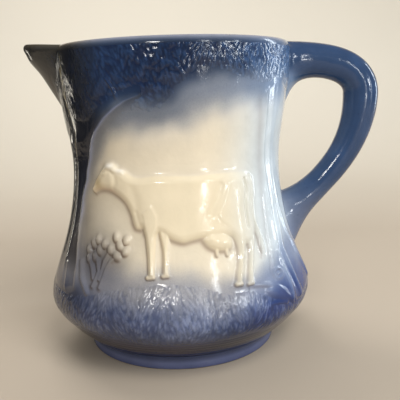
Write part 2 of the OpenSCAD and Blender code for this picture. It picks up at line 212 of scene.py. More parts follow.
def beak_share(u):
    """Share of the reach left at the share u of the half angle: a ridge rounded by a root, sides hollow."""
    fall = (np.sqrt(u * u + BEAK_ROUND ** 2) - BEAK_ROUND) / (math.sqrt(1 + BEAK_ROUND ** 2) - BEAK_ROUND)
    return np.clip(1.0 - fall, 0.0, 1.0) ** 1.2


# Meshes

def near_angle(angle):
    """The same place on the near side: the far side is its mirror image."""
    a = (angle + 180.0) % 360.0 - 180.0
    a = np.where(a > SIDE, 2.0 * SIDE - a, a)
    return np.where(a < -SIDE, -2.0 * SIDE - a, a)


def weld(points, tris):
    """Equal points made one, and triangles left out that this flattens."""
    keys = np.round(points * WELDS_PER_MM + 0.137).astype(np.int64)
    _, first, where = np.unique(keys, axis=0, return_index=True, return_inverse=True)
    tris = where.reshape(-1)[tris]
    whole = (tris[:, 0] != tris[:, 1]) & (tris[:, 1] != tris[:, 2]) & (tris[:, 2] != tris[:, 0])
    return first, tris[whole]


def halves(quads):
    """Two triangles for each four-cornered face."""
    return np.concatenate([quads[:, [0, 1, 2]], quads[:, [0, 2, 3]]])


def outwards(points, tris):
    """The triangles turned so that the volume they close is positive."""
    a, b, c = (points[tris[:, k]] for k in range(3))
    volume = np.einsum("ij,ij->i", a, np.cross(b, c)).sum()
    return tris if volume > 0 else tris[:, ::-1]


def put(name, points, tris, colours, sprays, nodes, material, mirrored=False):
    """One piece: points in millimetres, triangles, and each point's glaze colour and share of cobalt."""
    used, tris = np.unique(tris, return_inverse=True)
    tris = tris.reshape(-1, 3)
    points, colours, sprays = points[used].copy(), colours[used], sprays[used]
    if mirrored:
        points[:, 1] *= -1.0
    tris = outwards(points, tris)
    mesh = bpy.data.meshes.new(name)
    mesh.vertices.add(len(points))
    mesh.vertices.foreach_set("co", (points * MM).astype(np.float32).ravel())
    mesh.loops.add(tris.size)
    mesh.loops.foreach_set("vertex_index", tris.astype(np.int32).ravel())
    mesh.polygons.add(len(tris))
    mesh.polygons.foreach_set("loop_start", np.arange(0, tris.size, 3, dtype=np.int32))
    mesh.update(calc_edges=True)
    mesh.validate()
    mesh.shade_smooth()
    mesh.set_sharp_from_angle(angle=math.radians(SHARP_ANGLE))
    rgba = np.column_stack([colours, np.ones(len(colours))]).astype(np.float32)
    mesh.attributes.new("glaze", "FLOAT_COLOR", "POINT").data.foreach_set("color", rgba.ravel())
    mesh.attributes.new("spray", "FLOAT", "POINT").data.foreach_set("value", sprays.astype(np.float32))
    mesh.materials.append(material)
    piece = bpy.data.objects.new(name, mesh)
    bpy.context.scene.collection.objects.link(piece)
    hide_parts(*nodes)
    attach(piece, BODY)


def put_welded(name, points, tris, colour, spray, nodes, material):
    """One piece whose grid closes on itself: equal points are made one first. Its colours are sRGB."""
    points = points.reshape(-1, 3)
    used, tris = weld(points, tris)
    sprays = np.broadcast_to(spray, colour.shape[:-1]).ravel()[used]
    put(name, points[used], tris, linear(colour.reshape(-1, 3)[used]), sprays, nodes, material)


def grid_quads(rows, cols, wrap_rows=False):
    """Faces of a grid of points, row by row, closed from the last row to the first where it wraps."""
    at = np.arange(rows * cols).reshape(rows, cols)
    up = np.roll(at, -1, axis=0) if wrap_rows else at[1:]
    low = at if wrap_rows else at[:-1]
    return np.stack([low[:, :-1], low[:, 1:], up[:, 1:], up[:, :-1]], axis=-1).reshape(-1, 4)


def folded(rows, cols, wrap_rows=False, out=None, back=None):
    """Triangles of a band that runs out over an edge and back: the faces of its grid, and at both ends a
    face from each row of out to its partner in back. These are its two halves where they aren't given."""
    if out is None:
        out = np.arange(rows // 2 + 1)
        back = rows - 1 - out
    end = np.stack([out[:-1], out[1:], back[1:], back[:-1]], axis=-1) * cols
    return halves(np.concatenate([grid_quads(rows, cols, wrap_rows), end, end[:, ::-1] + cols - 1]))


def tidy_cells(keep, least=40):
    """Kept cells with no two that touch only at a corner, and without islands of fewer cells than least."""
    for _ in range(8):
        a, b, c, d = keep[:-1, :-1], keep[:-1, 1:], keep[1:, :-1], keep[1:, 1:]
        cross = (a & d & ~b & ~c) | (b & c & ~a & ~d)
        if not cross.any():
            break
        for part in (a, b, c, d):
            part |= cross
    label = np.where(keep, np.arange(keep.size).reshape(keep.shape), -1)
    for _ in range(4000):
        wide = np.pad(label, 1, constant_values=-1)
        best = np.maximum.reduce([wide[1:-1, 1:-1], wide[:-2, 1:-1], wide[2:, 1:-1],
                                  wide[1:-1, :-2], wide[1:-1, 2:]])
        best = np.where(keep, best, -1)
        if (best == label).all():
            break
        label = best
    names, counts = np.unique(label[keep], return_counts=True)
    return keep & np.isin(label, names[counts >= least])


def shell_faces(keep):
    """Closed shell over the kept cells of a grid: front, back, and a side where the cells end."""
    rows, cols = keep.shape
    count = (rows + 1) * (cols + 1)
    at = np.arange(count).reshape(rows + 1, cols + 1)
    corners = [at[:-1, :-1], at[:-1, 1:], at[1:, 1:], at[1:, :-1]]
    wide = np.pad(keep, 1)
    ends = [~wide[:-2, 1:-1], ~wide[1:-1, 2:], ~wide[2:, 1:-1], ~wide[1:-1, :-2]]
    front = np.stack(corners, axis=-1)[keep]
    quads = [front, front[:, ::-1] + count]
    for k, end in enumerate(ends):
        p, q = corners[k][keep & end], corners[(k + 1) % 4][keep & end]
        quads.append(np.stack([q, p, p + count, q + count], axis=-1))
    return halves(np.concatenate(quads))


# Relief drawing: places are (length along the wall, height), both in millimetres

def length(angle):
    """Length along the wall of an angle, on the circle that the relief is drawn on."""
    return np.radians(angle) * ARC_R


def patch(low, high, step, start, end, cols):
    """Grid on the wall between two heights and two angles: its angles, heights and lengths."""
    z = heights(low, high, step)[:, None]
    angle = np.linspace(start, end, cols)[None, :] + 0.0 * z
    return angle, z + 0.0 * angle, length(angle)


def rounded(corners, closed=True, steps=8):
    """Smooth outline through corners given as (angle, height): Catmull-Rom cubics."""
    p = np.array(corners, float)
    p = np.column_stack([length(p[:, 0]), p[:, 1]])
    if not closed:
        p = np.vstack([2 * p[0] - p[1], p, 2 * p[-1] - p[-2]])
        a, b, c, d = p[:-3], p[1:-2], p[2:-1], p[3:]
    else:
        a, b, c, d = np.roll(p, 1, axis=0), p, np.roll(p, -1, axis=0), np.roll(p, -2, axis=0)
    t = np.linspace(0, 1, steps, endpoint=False)[:, None, None]
    curve = 0.5 * (2 * b + (c - a) * t + (2 * a - 5 * b + 4 * c - d) * t ** 2
                   + (3 * b - a - 3 * c + d) * t ** 3)
    return curve.transpose(1, 0, 2).reshape(-1, 2)


def from_side(l, z, start, end):
    """For each point the share t along a straight side of the place nearest to it, and how far that
    place is in length and in height."""
    (x0, z0), (x1, z1) = start, end
    dx, dz = x1 - x0, z1 - z0
    t = np.clip(((l - x0) * dx + (z - z0) * dz) / max(dx * dx + dz * dz, 1e-9), 0.0, 1.0)
    return t, l - x0 - t * dx, z - z0 - t * dz


def depth_in(l, z, outline):
    """Distance in from a closed outline, negative outside: the least distance to its sides, with the sign
    from how many sides a level line out of the point crosses."""
    least = np.full(l.shape, 1e9)
    inside = np.zeros(l.shape, bool)
    for start, end in zip(outline, np.roll(outline, -1, axis=0)):
        _, x, up = from_side(l, z, start, end)
        least = np.minimum(least, x ** 2 + up ** 2)
        (x0, z0), (x1, z1) = start, end
        if z0 != z1:
            inside ^= ((z0 > z) != (z1 > z)) & (l < x0 + (z - z0) / (z1 - z0) * (x1 - x0))
    return np.where(inside, 1.0, -1.0) * np.sqrt(least)


def plate(l, z, outline, depth, edge):
    """A raised plate with rounded edges: depth times 1 - (1 - t)^2 to the power 1.15, t the distance in
    over the edge's width, and falling straight outside."""
    t = depth_in(l, z, outline) / edge
    dome = 1.0 - (1.0 - np.clip(t, 0.0, 1.0)) ** 2
    return np.where(t > 0, depth * dome ** 1.15, 1.2 * depth * t)


def limb(l, z, stations):
    """A rounded limb: between stations (angle, height, radius, depth) the depth times 1 - q^2, q the
    distance from the middle line over the radius, and falling straight outside."""
    best = np.full(l.shape, -50.0)
    for (a0, z0, r0, d0), (a1, z1, r1, d1) in zip(stations[:-1], stations[1:]):
        t, x, up = from_side(l, z, (length(a0), z0), (length(a1), z1))
        q = np.hypot(x, up) / mix(r0, r1, t)
        best = np.maximum(best, mix(d0, d1, t) * np.where(q < 1.0, 1.0 - q * q, 2.0 - 2.0 * q))
    return best


def limbs(l, z, many):
    """The highest of several limbs."""
    return np.maximum.reduce([limb(l, z, stations) for stations in many])


def mound(l, z, angle, height, wide, high, depth):
    """A soft swelling: depth times the bell curve of the distance over its half width and half height."""
    return depth * np.exp(-((l - length(angle)) / wide) ** 2 - ((z - height) / high) ** 2)


def crease(l, z, corners, wide, depth):
    """A soft groove along an open line, deepest on the line, a bell curve across."""
    line = rounded(corners, closed=False, steps=6)
    least = np.full(l.shape, 1e9)
    for start, end in zip(line[:-1], line[1:]):
        _, x, up = from_side(l, z, start, end)
        least = np.minimum(least, x ** 2 + up ** 2)
    return -depth * np.exp(-least / (wide * wide))


def strokes(l, z, marks):
    """Tooled strokes: each stands as its height times (1 - p^2)(1 - q^2), p along and q across it, and the
    tallest shows. marks has a row per stroke: place, height, lean, half length, half width, depth, tone.
    Returns the height and the tone of the stroke that shows. The rows of z are level or nearly so."""
    top = np.zeros(l.shape)
    tone = np.zeros(l.shape)
    low, high = z.min(axis=1), z.max(axis=1)
    for x0, z0, lean, half, wide, depth, shade in marks:
        rows = slice(int(np.searchsorted(high, z0 - half)), int(np.searchsorted(low, z0 + half)))
        dx, dz = l[rows] - x0, z[rows] - z0
        up, side = math.cos(lean), math.sin(lean)
        p = (dz * up + dx * side) / half
        q = (dx * up - dz * side) / wide
        h = depth * np.clip(1.0 - p * p, 0.0, 1.0) * np.clip(1.0 - q * q, 0.0, 1.0)
        win = h > top[rows]
        top[rows] = np.where(win, h, top[rows])
        tone[rows] = np.where(win, shade, tone[rows])
    return top, tone


def seated(h):
    """Height over the wall with a glazed-over foot: the smooth maximum of h and nothing, less a hair, and
    dipping under the wall further out."""
    return smooth_max(h, 0.0, FILLET) - HAIR - DIP * np.maximum(0.0, -h - 3.0 * FILLET)


# Glaze colours, as red, green and blue in sRGB

CREAM = np.array([0.90, 0.855, 0.765])
WARM_CREAM = np.array([0.925, 0.865, 0.735])
# PALE_BLUE: a cool tint together with painted cool window light, towards the handle
PALE_BLUE = np.array([0.80, 0.85, 0.89])
COBALT = np.array([0.10, 0.185, 0.325])
SKY_COBALT = np.array([0.235, 0.34, 0.50])
# INK: dark blue that also carries painted shade on the spout's side
INK = np.array([0.085, 0.10, 0.125])
MIST = np.array([0.47, 0.50, 0.59])
BLUE_MIST = np.array([0.27, 0.34, 0.52])
DEEP_MIST = np.array([0.26, 0.29, 0.39])
# NIGHT_MIST: glaze pooled between grass blades, and painted shade under the belly
NIGHT_MIST = np.array([0.17, 0.21, 0.34])
# Painted shade under the belly, towards the foot
UNDERSIDE_SHADE = np.array([0.15, 0.12, 0.18])
# UMBER: dark bark colour, also used for painted shade round the flowers and beside the spout's trunk
UMBER = np.array([0.25, 0.24, 0.24])
# Painted pale reflection down the side by the spout
REFLECTION_BEIGE = np.array([0.72, 0.67, 0.53])
SLATE = np.array([0.30, 0.33, 0.47])
# Tint of glaze pooling at the foot of a relief, and of painted shade on its shaded side
POOL_AND_SHADE_TINT = np.array([0.66, 0.60, 0.58])
CLAY = np.array([0.72, 0.63, 0.51])
INSIDE = np.array([0.90, 0.87, 0.80])
HANDLE_BLUE = np.array([0.175, 0.265, 0.40])
LOW_HANDLE = np.array([0.40, 0.43, 0.52])
DEEP_COBALT = np.array([0.035, 0.105, 0.215])
# Painted cool window light on the blue near the handle
WINDOW_LIGHT_COBALT = np.array([0.44, 0.57, 0.74])
HAZE = np.array([0.56, 0.63, 0.82])
ROOT_BLUE = np.array([0.36, 0.41, 0.52])
BARK_NAVY = np.array([0.105, 0.12, 0.165])
# The trunk's ridge: thin glaze with a painted highlight along it
PALE_RIDGE = np.array([0.52, 0.54, 0.64])
SPOUT_GREY = np.array([0.185, 0.19, 0.185])
WORN_BLUE = np.array([0.60, 0.61, 0.66])
WORN_UMBER = np.array([0.46, 0.42, 0.36])
BEAK_RIM = np.array([0.46, 0.42, 0.34])
FOOT_EDGE = np.array([0.42, 0.46, 0.58])
# Painted pale reflection on the leaf ridges beside the beak
RIDGE_REFLECTION_CREAM = np.array([0.66, 0.61, 0.47])
BLADE_PALE = np.array([0.68, 0.70, 0.76])
# Painted warm shade on the cow's face
FACE_SHADE_TAN = np.array([0.68, 0.58, 0.40])
# Painted warm shade under the jaw and throat
THROAT_SHADE = np.array([0.66, 0.50, 0.44])
# Painted highlight on the top of the cow's head and ear
TUFT_HIGHLIGHT_WHITE = np.array([0.97, 0.95, 0.91])

# Factors that darken a colour under them
RIGHT_SHADE = np.array([0.56, 0.64, 0.77])
BANK_SHADE = np.array([0.84, 0.88, 0.96])
POOL_SHADE = np.array([0.55, 0.66, 0.80])

# Heights at which the sprayed blue starts, is half as strong, and is full, by angle
TOP_START = [(-90, 30), (-70, 34), (-60, 44), (-56, 70), (-50, 92), (-41, 110), (-33, 121), (-24, 126),
             (-7, 128), (6, 128), (14, 129), (20, 134), (30, 138), (40, 140), (50, 141), (60, 141),
             (90, 136)]
TOP_HALF = [(-90, 50), (-70, 58), (-62, 74), (-56, 98), (-50, 112), (-39, 132), (-33, 139.5),
            (-24, 142), (-14, 143), (-6, 141.5), (-1, 143), (3, 147), (7.5, 151.5), (12, 153.5),
            (18, 156), (27, 155), (40, 155), (57, 157), (90, 152)]
TOP_FULL = [(-90, 80), (-70, 90), (-62, 104), (-55, 122), (-38, 144), (-33, 150), (-24, 157), (-6, 157),
            (0, 160), (5, 164.5), (12, 168), (30, 168), (40, 171), (60, 173), (90, 171)]
LOW_START = [(-90, 96), (-60, 84), (-47, 79), (-38, 75), (-28, 71), (-20, 70), (4, 69), (10, 66),
             (16, 62), (28, 60), (36, 63), (45, 69), (60, 82), (90, 90)]
LOW_HALF = [(-90, 64), (-42, 57), (-29, 53), (-16, 53), (-8, 52), (4, 53.5), (13, 49), (20, 49),
            (32, 49), (40, 51), (56, 60), (90, 66)]
LOW_FULL = [(-90, 42), (-40, 35), (-20, 33), (3, 31.5), (14, 28), (24, 29.5), (34, 34), (46, 40),
            (90, 43)]


def linear(srgb):
    """Light values of sRGB colours."""
    return np.where(srgb < 0.04045, srgb / 12.92, ((srgb + 0.055) / 1.055) ** 2.4)


def lit(srgb):
    """The four light values of an sRGB colour, for a socket."""
    return tuple(float(c) for c in linear(np.array(srgb))) + (1.0,)


def tint(base, other, share):
    """base mixed towards other by a share at each point."""
    return np.asarray(base) + (np.asarray(other) - base) * np.asarray(share)[..., None]


def darker(base, factor, share):
    """base times the factor where the share is 1, and as it was where it is 0."""
    return base * mix(1.0, factor, share[..., None])


def spread(z, start, half, full):
    """Strength of a sprayed colour: 0 at start, a half at half, 1 at full, smooth between."""
    lower = (z - start) / (half - start)
    upper = (z - half) / (full - half)
    return 0.5 * ramp(lower, 0.0, 1.0) ** 1.3 + 0.5 * (1.0 - (1.0 - ramp(upper, 0.0, 1.0)) ** 1.3)


def top_spray(angle, z):
    """Strength of the blue sprayed from the rim down."""
    return spread(z, table(angle, TOP_START), table(angle, TOP_HALF), table(angle, TOP_FULL))


def low_spray(angle, z):
    """Strength of the blue sprayed from the foot up."""
    return spread(-z, -table(angle, LOW_START), -table(angle, LOW_HALF), -table(angle, LOW_FULL))


# Lines up the wall as (height, angle): the ridge of the trunk beside the spout, and the streak of painted
# pale reflection by it
TRUNK_RIDGE = [(46, -50.0), (61, -51.2), (70, -53.3), (81, -54.4), (95, -53.4), (101, -51.7),
               (106, -49.6), (112, -48.3), (118, -45.8), (126, -43.3), (129, -42.0), (134, -38.7),
               (140.5, -32.7), (145.5, -26.6), (149, -21.3), (152, -14.0)]
STREAK_LINE = [(96, -60.5), (114, -59.8), (122, -58.5), (134, -57.3), (138, -58.6), (142, -59.8),
               (147, -62.0), (155, -64.0), (170, -63.0)]

# Half width of the streak in degrees, by height
STREAK_WIDTH = [(100, 0.7), (120, 0.9), (140, 1.3), (160, 1.9)]


def rim_blue(a, z):
    """Blue under the rim: inky towards the spout, dark blue and painted shade on that side, deepest just
    left of the middle, paler to the right, and palest near the handle with painted window light.
    """
    # Inky towards the spout: dark blue with painted shade on the side away from the light
    blue = tint(tint(COBALT, SKY_COBALT, ramp(a, 2.0, 52.0)), INK, ramp(-a, 28.0, 56.0))
    blue = tint(blue, DEEP_COBALT, 0.8 * bell(a + 8.0, 12.0))
    # Painted window light: paler blue near the handle
    blue = tint(blue, WINDOW_LIGHT_COBALT, 0.35 * ramp(a, 38.0, 58.0))
    return darker(blue, 0.74, ramp(z, 150.0, 164.0) * bell(a - 20.0, 18.0))


def grass_blue(a, z):
    """Blue of the grass: misty in the middle, deeper at both sides, and darker with painted shade low on
    both sides and under the belly towards the foot.
    """
    blue = tint(DEEP_MIST, MIST, bell(a - 6.0, 20.0))
    blue = tint(blue, BLUE_MIST, ramp(a, 18.0, 32.0))
    # Painted shade under the belly: darker and duskier towards the foot
    blue = tint(blue, NIGHT_MIST, 0.40 * ramp(36.0 - z, 0.0, 14.0))
    blue = tint(blue, UNDERSIDE_SHADE, 0.92 * ramp(29.0 - z, 0.0, 13.0))
    # Painted shade low on the right and low on the left
    blue = darker(blue, RIGHT_SHADE, ramp(a, 2.0, 22.0) * ramp(46.0 - z, 0.0, 16.0))
    blue = darker(blue, 0.68, ramp(-a, 36.0, 54.0) * ramp(58.0 - z, 0.0, 16.0))
    return darker(blue, BANK_SHADE, ramp(z, 24.0, 34.0))


def spout_side(colour, a, l, z):
    """The glaze beside the spout: dark bark with painted shade left of the trunk's ridge, a painted brown
    shadow right of it, a pale ridge of thin glaze with a painted highlight, and a streak of painted beige
    reflection. Returns the colour and the share of the streak."""
    beside = l - length(table(z, TRUNK_RIDGE))
    tall = ramp(z, 50.0, 66.0) * ramp(154.0 - z, 0.0, 10.0)
    # Bark left of the ridge: dark glaze that also carries painted shade on this side
    bark = tint(UMBER, BARK_NAVY, ramp(z, 70.0, 104.0))
    colour = tint(colour, bark, 0.88 * ramp(-beside, 0.2, 2.4) * tall * ramp(150.0 - z, 0.0, 16.0))
    # Painted brown shadow right of the trunk's ridge
    brown = mix(0.78, 0.32, ramp(z, 80.0, 110.0)) * np.exp(-np.maximum(beside, 0.0) / 8.0)
    colour = tint(colour, UMBER * 1.2, brown * ramp(beside, -1.0, 1.5) * tall)
    # The pale ridge: thin glaze with a painted highlight along it
    pale = bell(beside + 0.3, 1.15) * tall * mix(0.12, 0.8, ramp(z, 70.0, 92.0))
    colour = tint(colour, PALE_RIDGE, pale)
    colour = tint(colour, SPOUT_GREY, 0.6 * ramp(-a, 57.0, 66.0) * ramp(z, 50.0, 80.0))
    # The streak: a painted beige reflection down the side by the spout
    streak = bell(a - table(z, STREAK_LINE), table(z, STREAK_WIDTH))
    streak = streak * ramp(z, 92.0, 108.0) * ramp(172.0 - z, 0.0, 8.0)
    streak = np.clip(streak * (0.75 + 0.35 * swell(l * 3.0, z, 5, 9.0)), 0.0, 1.0)
    return tint(colour, REFLECTION_BEIGE, 0.8 * streak), streak


def jug_colour(angle, z):
    """Glaze of the jug at an angle and height, and its share of blue: cream, cooler towards the handle with
    a cool tint and painted cool window light, and browner round the flowers with painted shade, under blue
    sprayed down from the rim and up from the foot."""
    a = near_angle(angle)
    l = length(a)
    wave = swell(l, z, 3, 26.0) + 0.5 * swell(l, z, 4, 9.0)
    top = top_spray(a, z + wave)
    low = low_spray(a, z + wave)
    # Painted shade round the flowers: the wall darker and browner there
    flower_shade = mound(l, z, -40.0, 66.0, 11.0, 13.0, 1.0) + mound(l, z, -28.5, 66.0, 8.0, 9.0, 0.45)
    # Cooler towards the handle: a cool tint and painted cool window light
    colour = tint(CREAM, PALE_BLUE, ramp(a, 12.0, 56.0))
    colour = tint(colour, UMBER * 1.35, 0.72 * np.clip(flower_shade, 0.0, 1.0))
    colour = tint(colour, grass_blue(a, z), low)
    haze = 0.18 * top_spray(a, z + wave + 9.0) * ramp(a, -32.0, -16.0) + 0.35 * top * (1.0 - top)
    colour = tint(colour, HAZE, haze)
    colour = tint(colour, rim_blue(a, z), top)
    colour, streak = spout_side(colour, a, l, z)
    root = mound(l, z, SIDE, 84.0, 15.0, 20.0, 1.0) + mound(l, z, SIDE, 171.0, 13.0, 11.0, 0.7)
    root = np.clip(0.85 * root, 0.0, 1.0)
    colour = tint(colour, ROOT_BLUE, root)
    return colour, np.maximum(np.maximum(top, low), 0.8 * root) * (1.0 - streak)


# Materials

def new_material(name):
    """A new material with its nodes, its links and its shader."""
    material = bpy.data.materials.new(name)
    material.use_nodes = True
    tree = material.node_tree
    return material, tree.nodes, tree.links, tree.nodes["Principled BSDF"]


def glaze(name, rough, ripple, mottle, streak=0.0):
    """Glossy stoneware glaze over the painted colour: the blue is broken into sprayed grain where it thins,
    the colour is mottled, and the surface ripples as fired glaze does, with upright streaks on tooled
    clay."""
    material, nodes, links, shader = new_material(name)
    place = nodes.new("ShaderNodeTexCoord").outputs["Object"]

    def fill(sockets, values):
        """Each value into its socket, as a link where it comes out of a node."""
        for socket, value in zip(sockets, values):
            if isinstance(value, bpy.types.NodeSocket):
                links.new(value, socket)
            else:
                socket.default_value = value

    def attribute(key, output):
        node = nodes.new("ShaderNodeAttribute")
        node.attribute_name = key
        return node.outputs[output]

    def noise(scale, detail, roughness, source=place):
        node = nodes.new("ShaderNodeTexNoise")
        keys = ("Vector", "Scale", "Detail", "Roughness")
        fill([node.inputs[key] for key in keys], (source, scale, detail, roughness))
        return node.outputs["Fac"]

    def maths(kind, a, b):
        node = nodes.new("ShaderNodeMath")
        node.operation = kind
        fill(node.inputs, (a, b))
        return node.outputs[0]

    def mixed(kind, share, a, b):
        node = nodes.new("ShaderNodeMix")
        node.data_type = "RGBA"
        node.blend_type = kind
        fill((node.inputs[0], node.inputs[6], node.inputs[7]), (share, a, b))
        return node.outputs[2]

    def band(value, low, high, to_low, to_high):
        node = nodes.new("ShaderNodeMapRange")
        keys = ("Value", "From Min", "From Max", "To Min", "To Max")
        fill([node.inputs[key] for key in keys], (value, low, high, to_low, to_high))
        return node.outputs["Result"]

    spray = attribute("spray", "Fac")
    thin = maths("MULTIPLY", spray, maths("SUBTRACT", 1.0, spray))
    grain = band(noise(1500.0, 2.0, 0.6), 0.42, 0.62, 0.0, 1.0)
    grain = maths("MULTIPLY", grain, maths("MULTIPLY", thin, 0.45))
    grainy = mixed("MIX", grain, attribute("glaze", "Color"), lit(SLATE * 0.9))
    cloud = band(noise(95.0, 4.0, 0.55), 0.3, 0.7, 1.0 - mottle, 1.0 + mottle * 0.6)
    speck = band(noise(620.0, 2.0, 0.5), 0.66, 0.74, 0.0, 0.22)
    speck = maths("MULTIPLY", speck, spray)
    painted = mixed("MIX", speck, mixed("MULTIPLY", 1.0, grainy, cloud), lit(COBALT * 0.6))
    links.new(painted, shader.inputs["Base Color"])
    links.new(band(noise(40.0, 3.0, 0.5), 0.3, 0.7, rough * 0.8, rough * 1.35), shader.inputs["Roughness"])
    shader.inputs["IOR"].default_value = 1.46
    shader.inputs["Coat Weight"].default_value = 0.12
    shader.inputs["Coat Roughness"].default_value = 0.05
    height = maths("ADD", noise(75.0, 2.0, 0.5), maths("MULTIPLY", noise(430.0, 2.0, 0.5), 0.30))
    if streak > 0.0:
        upright = nodes.new("ShaderNodeMapping")
        upright.inputs["Scale"].default_value = (1.0, 1.0, 0.24)
        links.new(place, upright.inputs["Vector"])
        blades = noise(820.0, 2.0, 0.55, upright.outputs["Vector"])
        height = maths("ADD", height, maths("MULTIPLY", blades, streak))
    bump = nodes.new("ShaderNodeBump")
    bump.inputs["Strength"].default_value = 1.0
    bump.inputs["Distance"].default_value = ripple
    links.new(height, bump.inputs["Height"])
    links.new(bump.outputs["Normal"], shader.inputs["Normal"])
    return material


wall_glaze = glaze("cream_and_cobalt_glaze", 0.12, 0.00028, 0.05)
leaf_glaze = glaze("leaf_glaze", 0.13, 0.00022, 0.14, 0.5)
grass_glaze = glaze("grass_glaze", 0.11, 0.00022, 0.12, 0.8)
figure_glaze = glaze("cream_figure_glaze", 0.13, 0.00018, 0.04)
tree_glaze = glaze("tree_glaze", 0.12, 0.00024, 0.09)
handle_glaze = glaze("cobalt_handle_glaze", 0.13, 0.00030, 0.12)
foot_glaze = glaze("slate_foot_glaze", 0.20, 0.00030, 0.10)
inside_glaze = glaze("inside_glaze", 0.20, 0.00020, 0.04)


# Wall, lip, spout, floor and foot

def round_grid(z, cols):
    """Angles of a row round the jug from one side of the beak to the other, at each height."""
    half = spout_half(spout_v(z))[:, None]
    return mix(-SIDE + half, 3.0 * SIDE - half, np.linspace(0.0, 1.0, cols)[None, :])


def wall_piece():
    """The wall: up its outline, with turning lines near the foot, and down inside it, carried round from
    one side of the beak to the other."""
    cols = 361
    low = np.concatenate([heights(FOOT_H, 26.0, 0.7)[:-1], heights(26.0, SPOUT_Z, 1.9)[:-1]])
    high = np.linspace(SPOUT_Z, LIP_Z, 31)
    z_out = np.concatenate([low, high])
    z_in = np.concatenate([low[low > FLOOR_Z], high])[::-1]
    turned = 0.07 * np.sin(z_out * 2.0 * math.pi / 2.1) * ramp(25.0 - z_out, 0.0, 6.0)
    r = np.concatenate([wall_r(z_out) + turned, inner_r(z_in), [HEEL_IN_R, HEEL_IN_R]])
    z = np.concatenate([z_out, z_in, [FLOOR_Z, FOOT_H]])
    angle = round_grid(z, cols)
    zz = np.broadcast_to(z[:, None], angle.shape)
    colour, spray = jug_colour(angle, zz)
    inner = np.arange(len(z)) >= len(z_out)
    drip = 0.8 * ramp(zz, 158.0, 178.0)
    colour = np.where(inner[:, None, None], tint(INSIDE, SLATE, drip), colour)
    spray = np.where(inner[:, None], drip, spray)
    row = np.arange(len(high))
    tris = folded(len(z), cols, True, len(low) + row, len(z_out) + len(high) - 1 - row)
    put_welded("thrown_wall", ring(angle, r[:, None], zz), tris, colour, spray, ["body_wall"],
               wall_glaze)


def edge_ring(turn, r_out, r_in, z_low):
    """Rounded edge between two radii: half an ellipse over their middle, as high as the lip."""
    return 0.5 * (r_out + r_in) + 0.5 * (r_out - r_in) * np.cos(turn), z_low + LIP_H * np.sin(turn)


def rim_tone(turn):
    """Share of paler blue along the rounded edge, where the glaze runs thin over its top."""
    return bell(turn - 1.15, 0.75)


def lip_piece():
    """The lip: half an ellipse carried round from one side of the beak to the other."""
    cols = 421
    turn = np.linspace(0.0, math.pi, 19)
    z = LIP_Z + LIP_H * np.sin(turn)
    r, _ = edge_ring(turn, wall_r(z), inner_r(z), LIP_Z)
    angle = round_grid(z, cols)
    zz = np.broadcast_to(z[:, None], angle.shape)
    colour, spray = jug_colour(angle, zz)
    over = turn[:, None]
    colour = tint(colour, tint(INSIDE, SLATE, 0.8), ramp(over, 1.9, 2.7))
    colour = tint(colour, colour * 0.9, ramp(1.0 - over, 0.0, 0.6))
    worn = tint(WORN_BLUE, WORN_UMBER, ramp(-near_angle(angle), 30.0, 60.0))
    colour = tint(colour, worn, 0.92 * rim_tone(over))
    tris = folded(len(turn), cols, wrap_rows=True)
    put_welded("rolled_lip", ring(angle, r[:, None], zz), tris, colour, spray, ["lip"],
               handle_glaze)


def turned_piece(name, profile, colours, nodes, material, spray=0.0):
    """A piece turned on the wheel: a closed profile of (radius, height) carried round the axis."""
    cols = 360
    angle = np.linspace(-SIDE, 3.0 * SIDE, cols)[None, :] + 0.0 * profile[:, :1]
    points = ring(angle, profile[:, :1], profile[:, 1:] + 0.0 * angle)
    colour = np.broadcast_to(colours[:, None, :], points.shape)
    tris = halves(grid_quads(len(profile), cols, wrap_rows=True))
    put_welded(name, points, tris, colour, spray, nodes, material)


def arc(mid, radius, start, end, steps):
    """Points of an arc in the profile's plane, angles in degrees."""
    turn = np.radians(np.linspace(start, end, steps))
    return [(mid[0] + radius * math.cos(t), mid[1] + radius * math.sin(t)) for t in turn]


# Outer side of the foot ring up into the wall: how far outside its radius, and the height
FOOT_SIDE = [(-0.1, 2.6), (-0.35, 3.8), (-0.6, 4.8), (-0.55, 5.8), (-0.1, 6.7), (0.8, 7.6), (1.6, 8.6),
             (-1.0, 8.6), (-3.0, 7.4), (-3.2, 7.0)]


def foot_piece():
    """The foot ring: a turned band that stands out a little at the table, its edge wiped to bare clay."""
    profile = [(mix(FOOT_IN_R + 0.8, FOOT_R - 1.5, s), 0.0) for s in (0.0, 0.33, 0.66)]
    profile += arc((FOOT_R - 1.5, 1.5), 1.5, -90, 0, 9)
    profile += [(FOOT_R + out, z) for out, z in FOOT_SIDE]
    profile += [(FOOT_IN_R + out, z) for out, z in ((1.0, 7.0), (0.0, 6.2), (0.0, 3.5), (0.0, 0.8))]
    profile = np.array(profile)
    bare = np.clip(1.0 - profile[:, 1] / 0.7, 0.0, 1.0)
    bare = np.maximum(bare, profile[:, 0] < FOOT_IN_R + 1.2)
    colours = tint(SLATE, FOOT_EDGE, 0.35 * bell(profile[:, 1] - 3.4, 1.0))
    # Painted shade on the top of the foot ring, under the belly
    colours = tint(colours, DEEP_MIST, 0.8 * ramp(profile[:, 1], 3.6, 6.6))
    turned_piece("foot_band", profile, tint(colours, CLAY, bare), ["foot_ring"], foot_glaze,
                 spray=0.6)


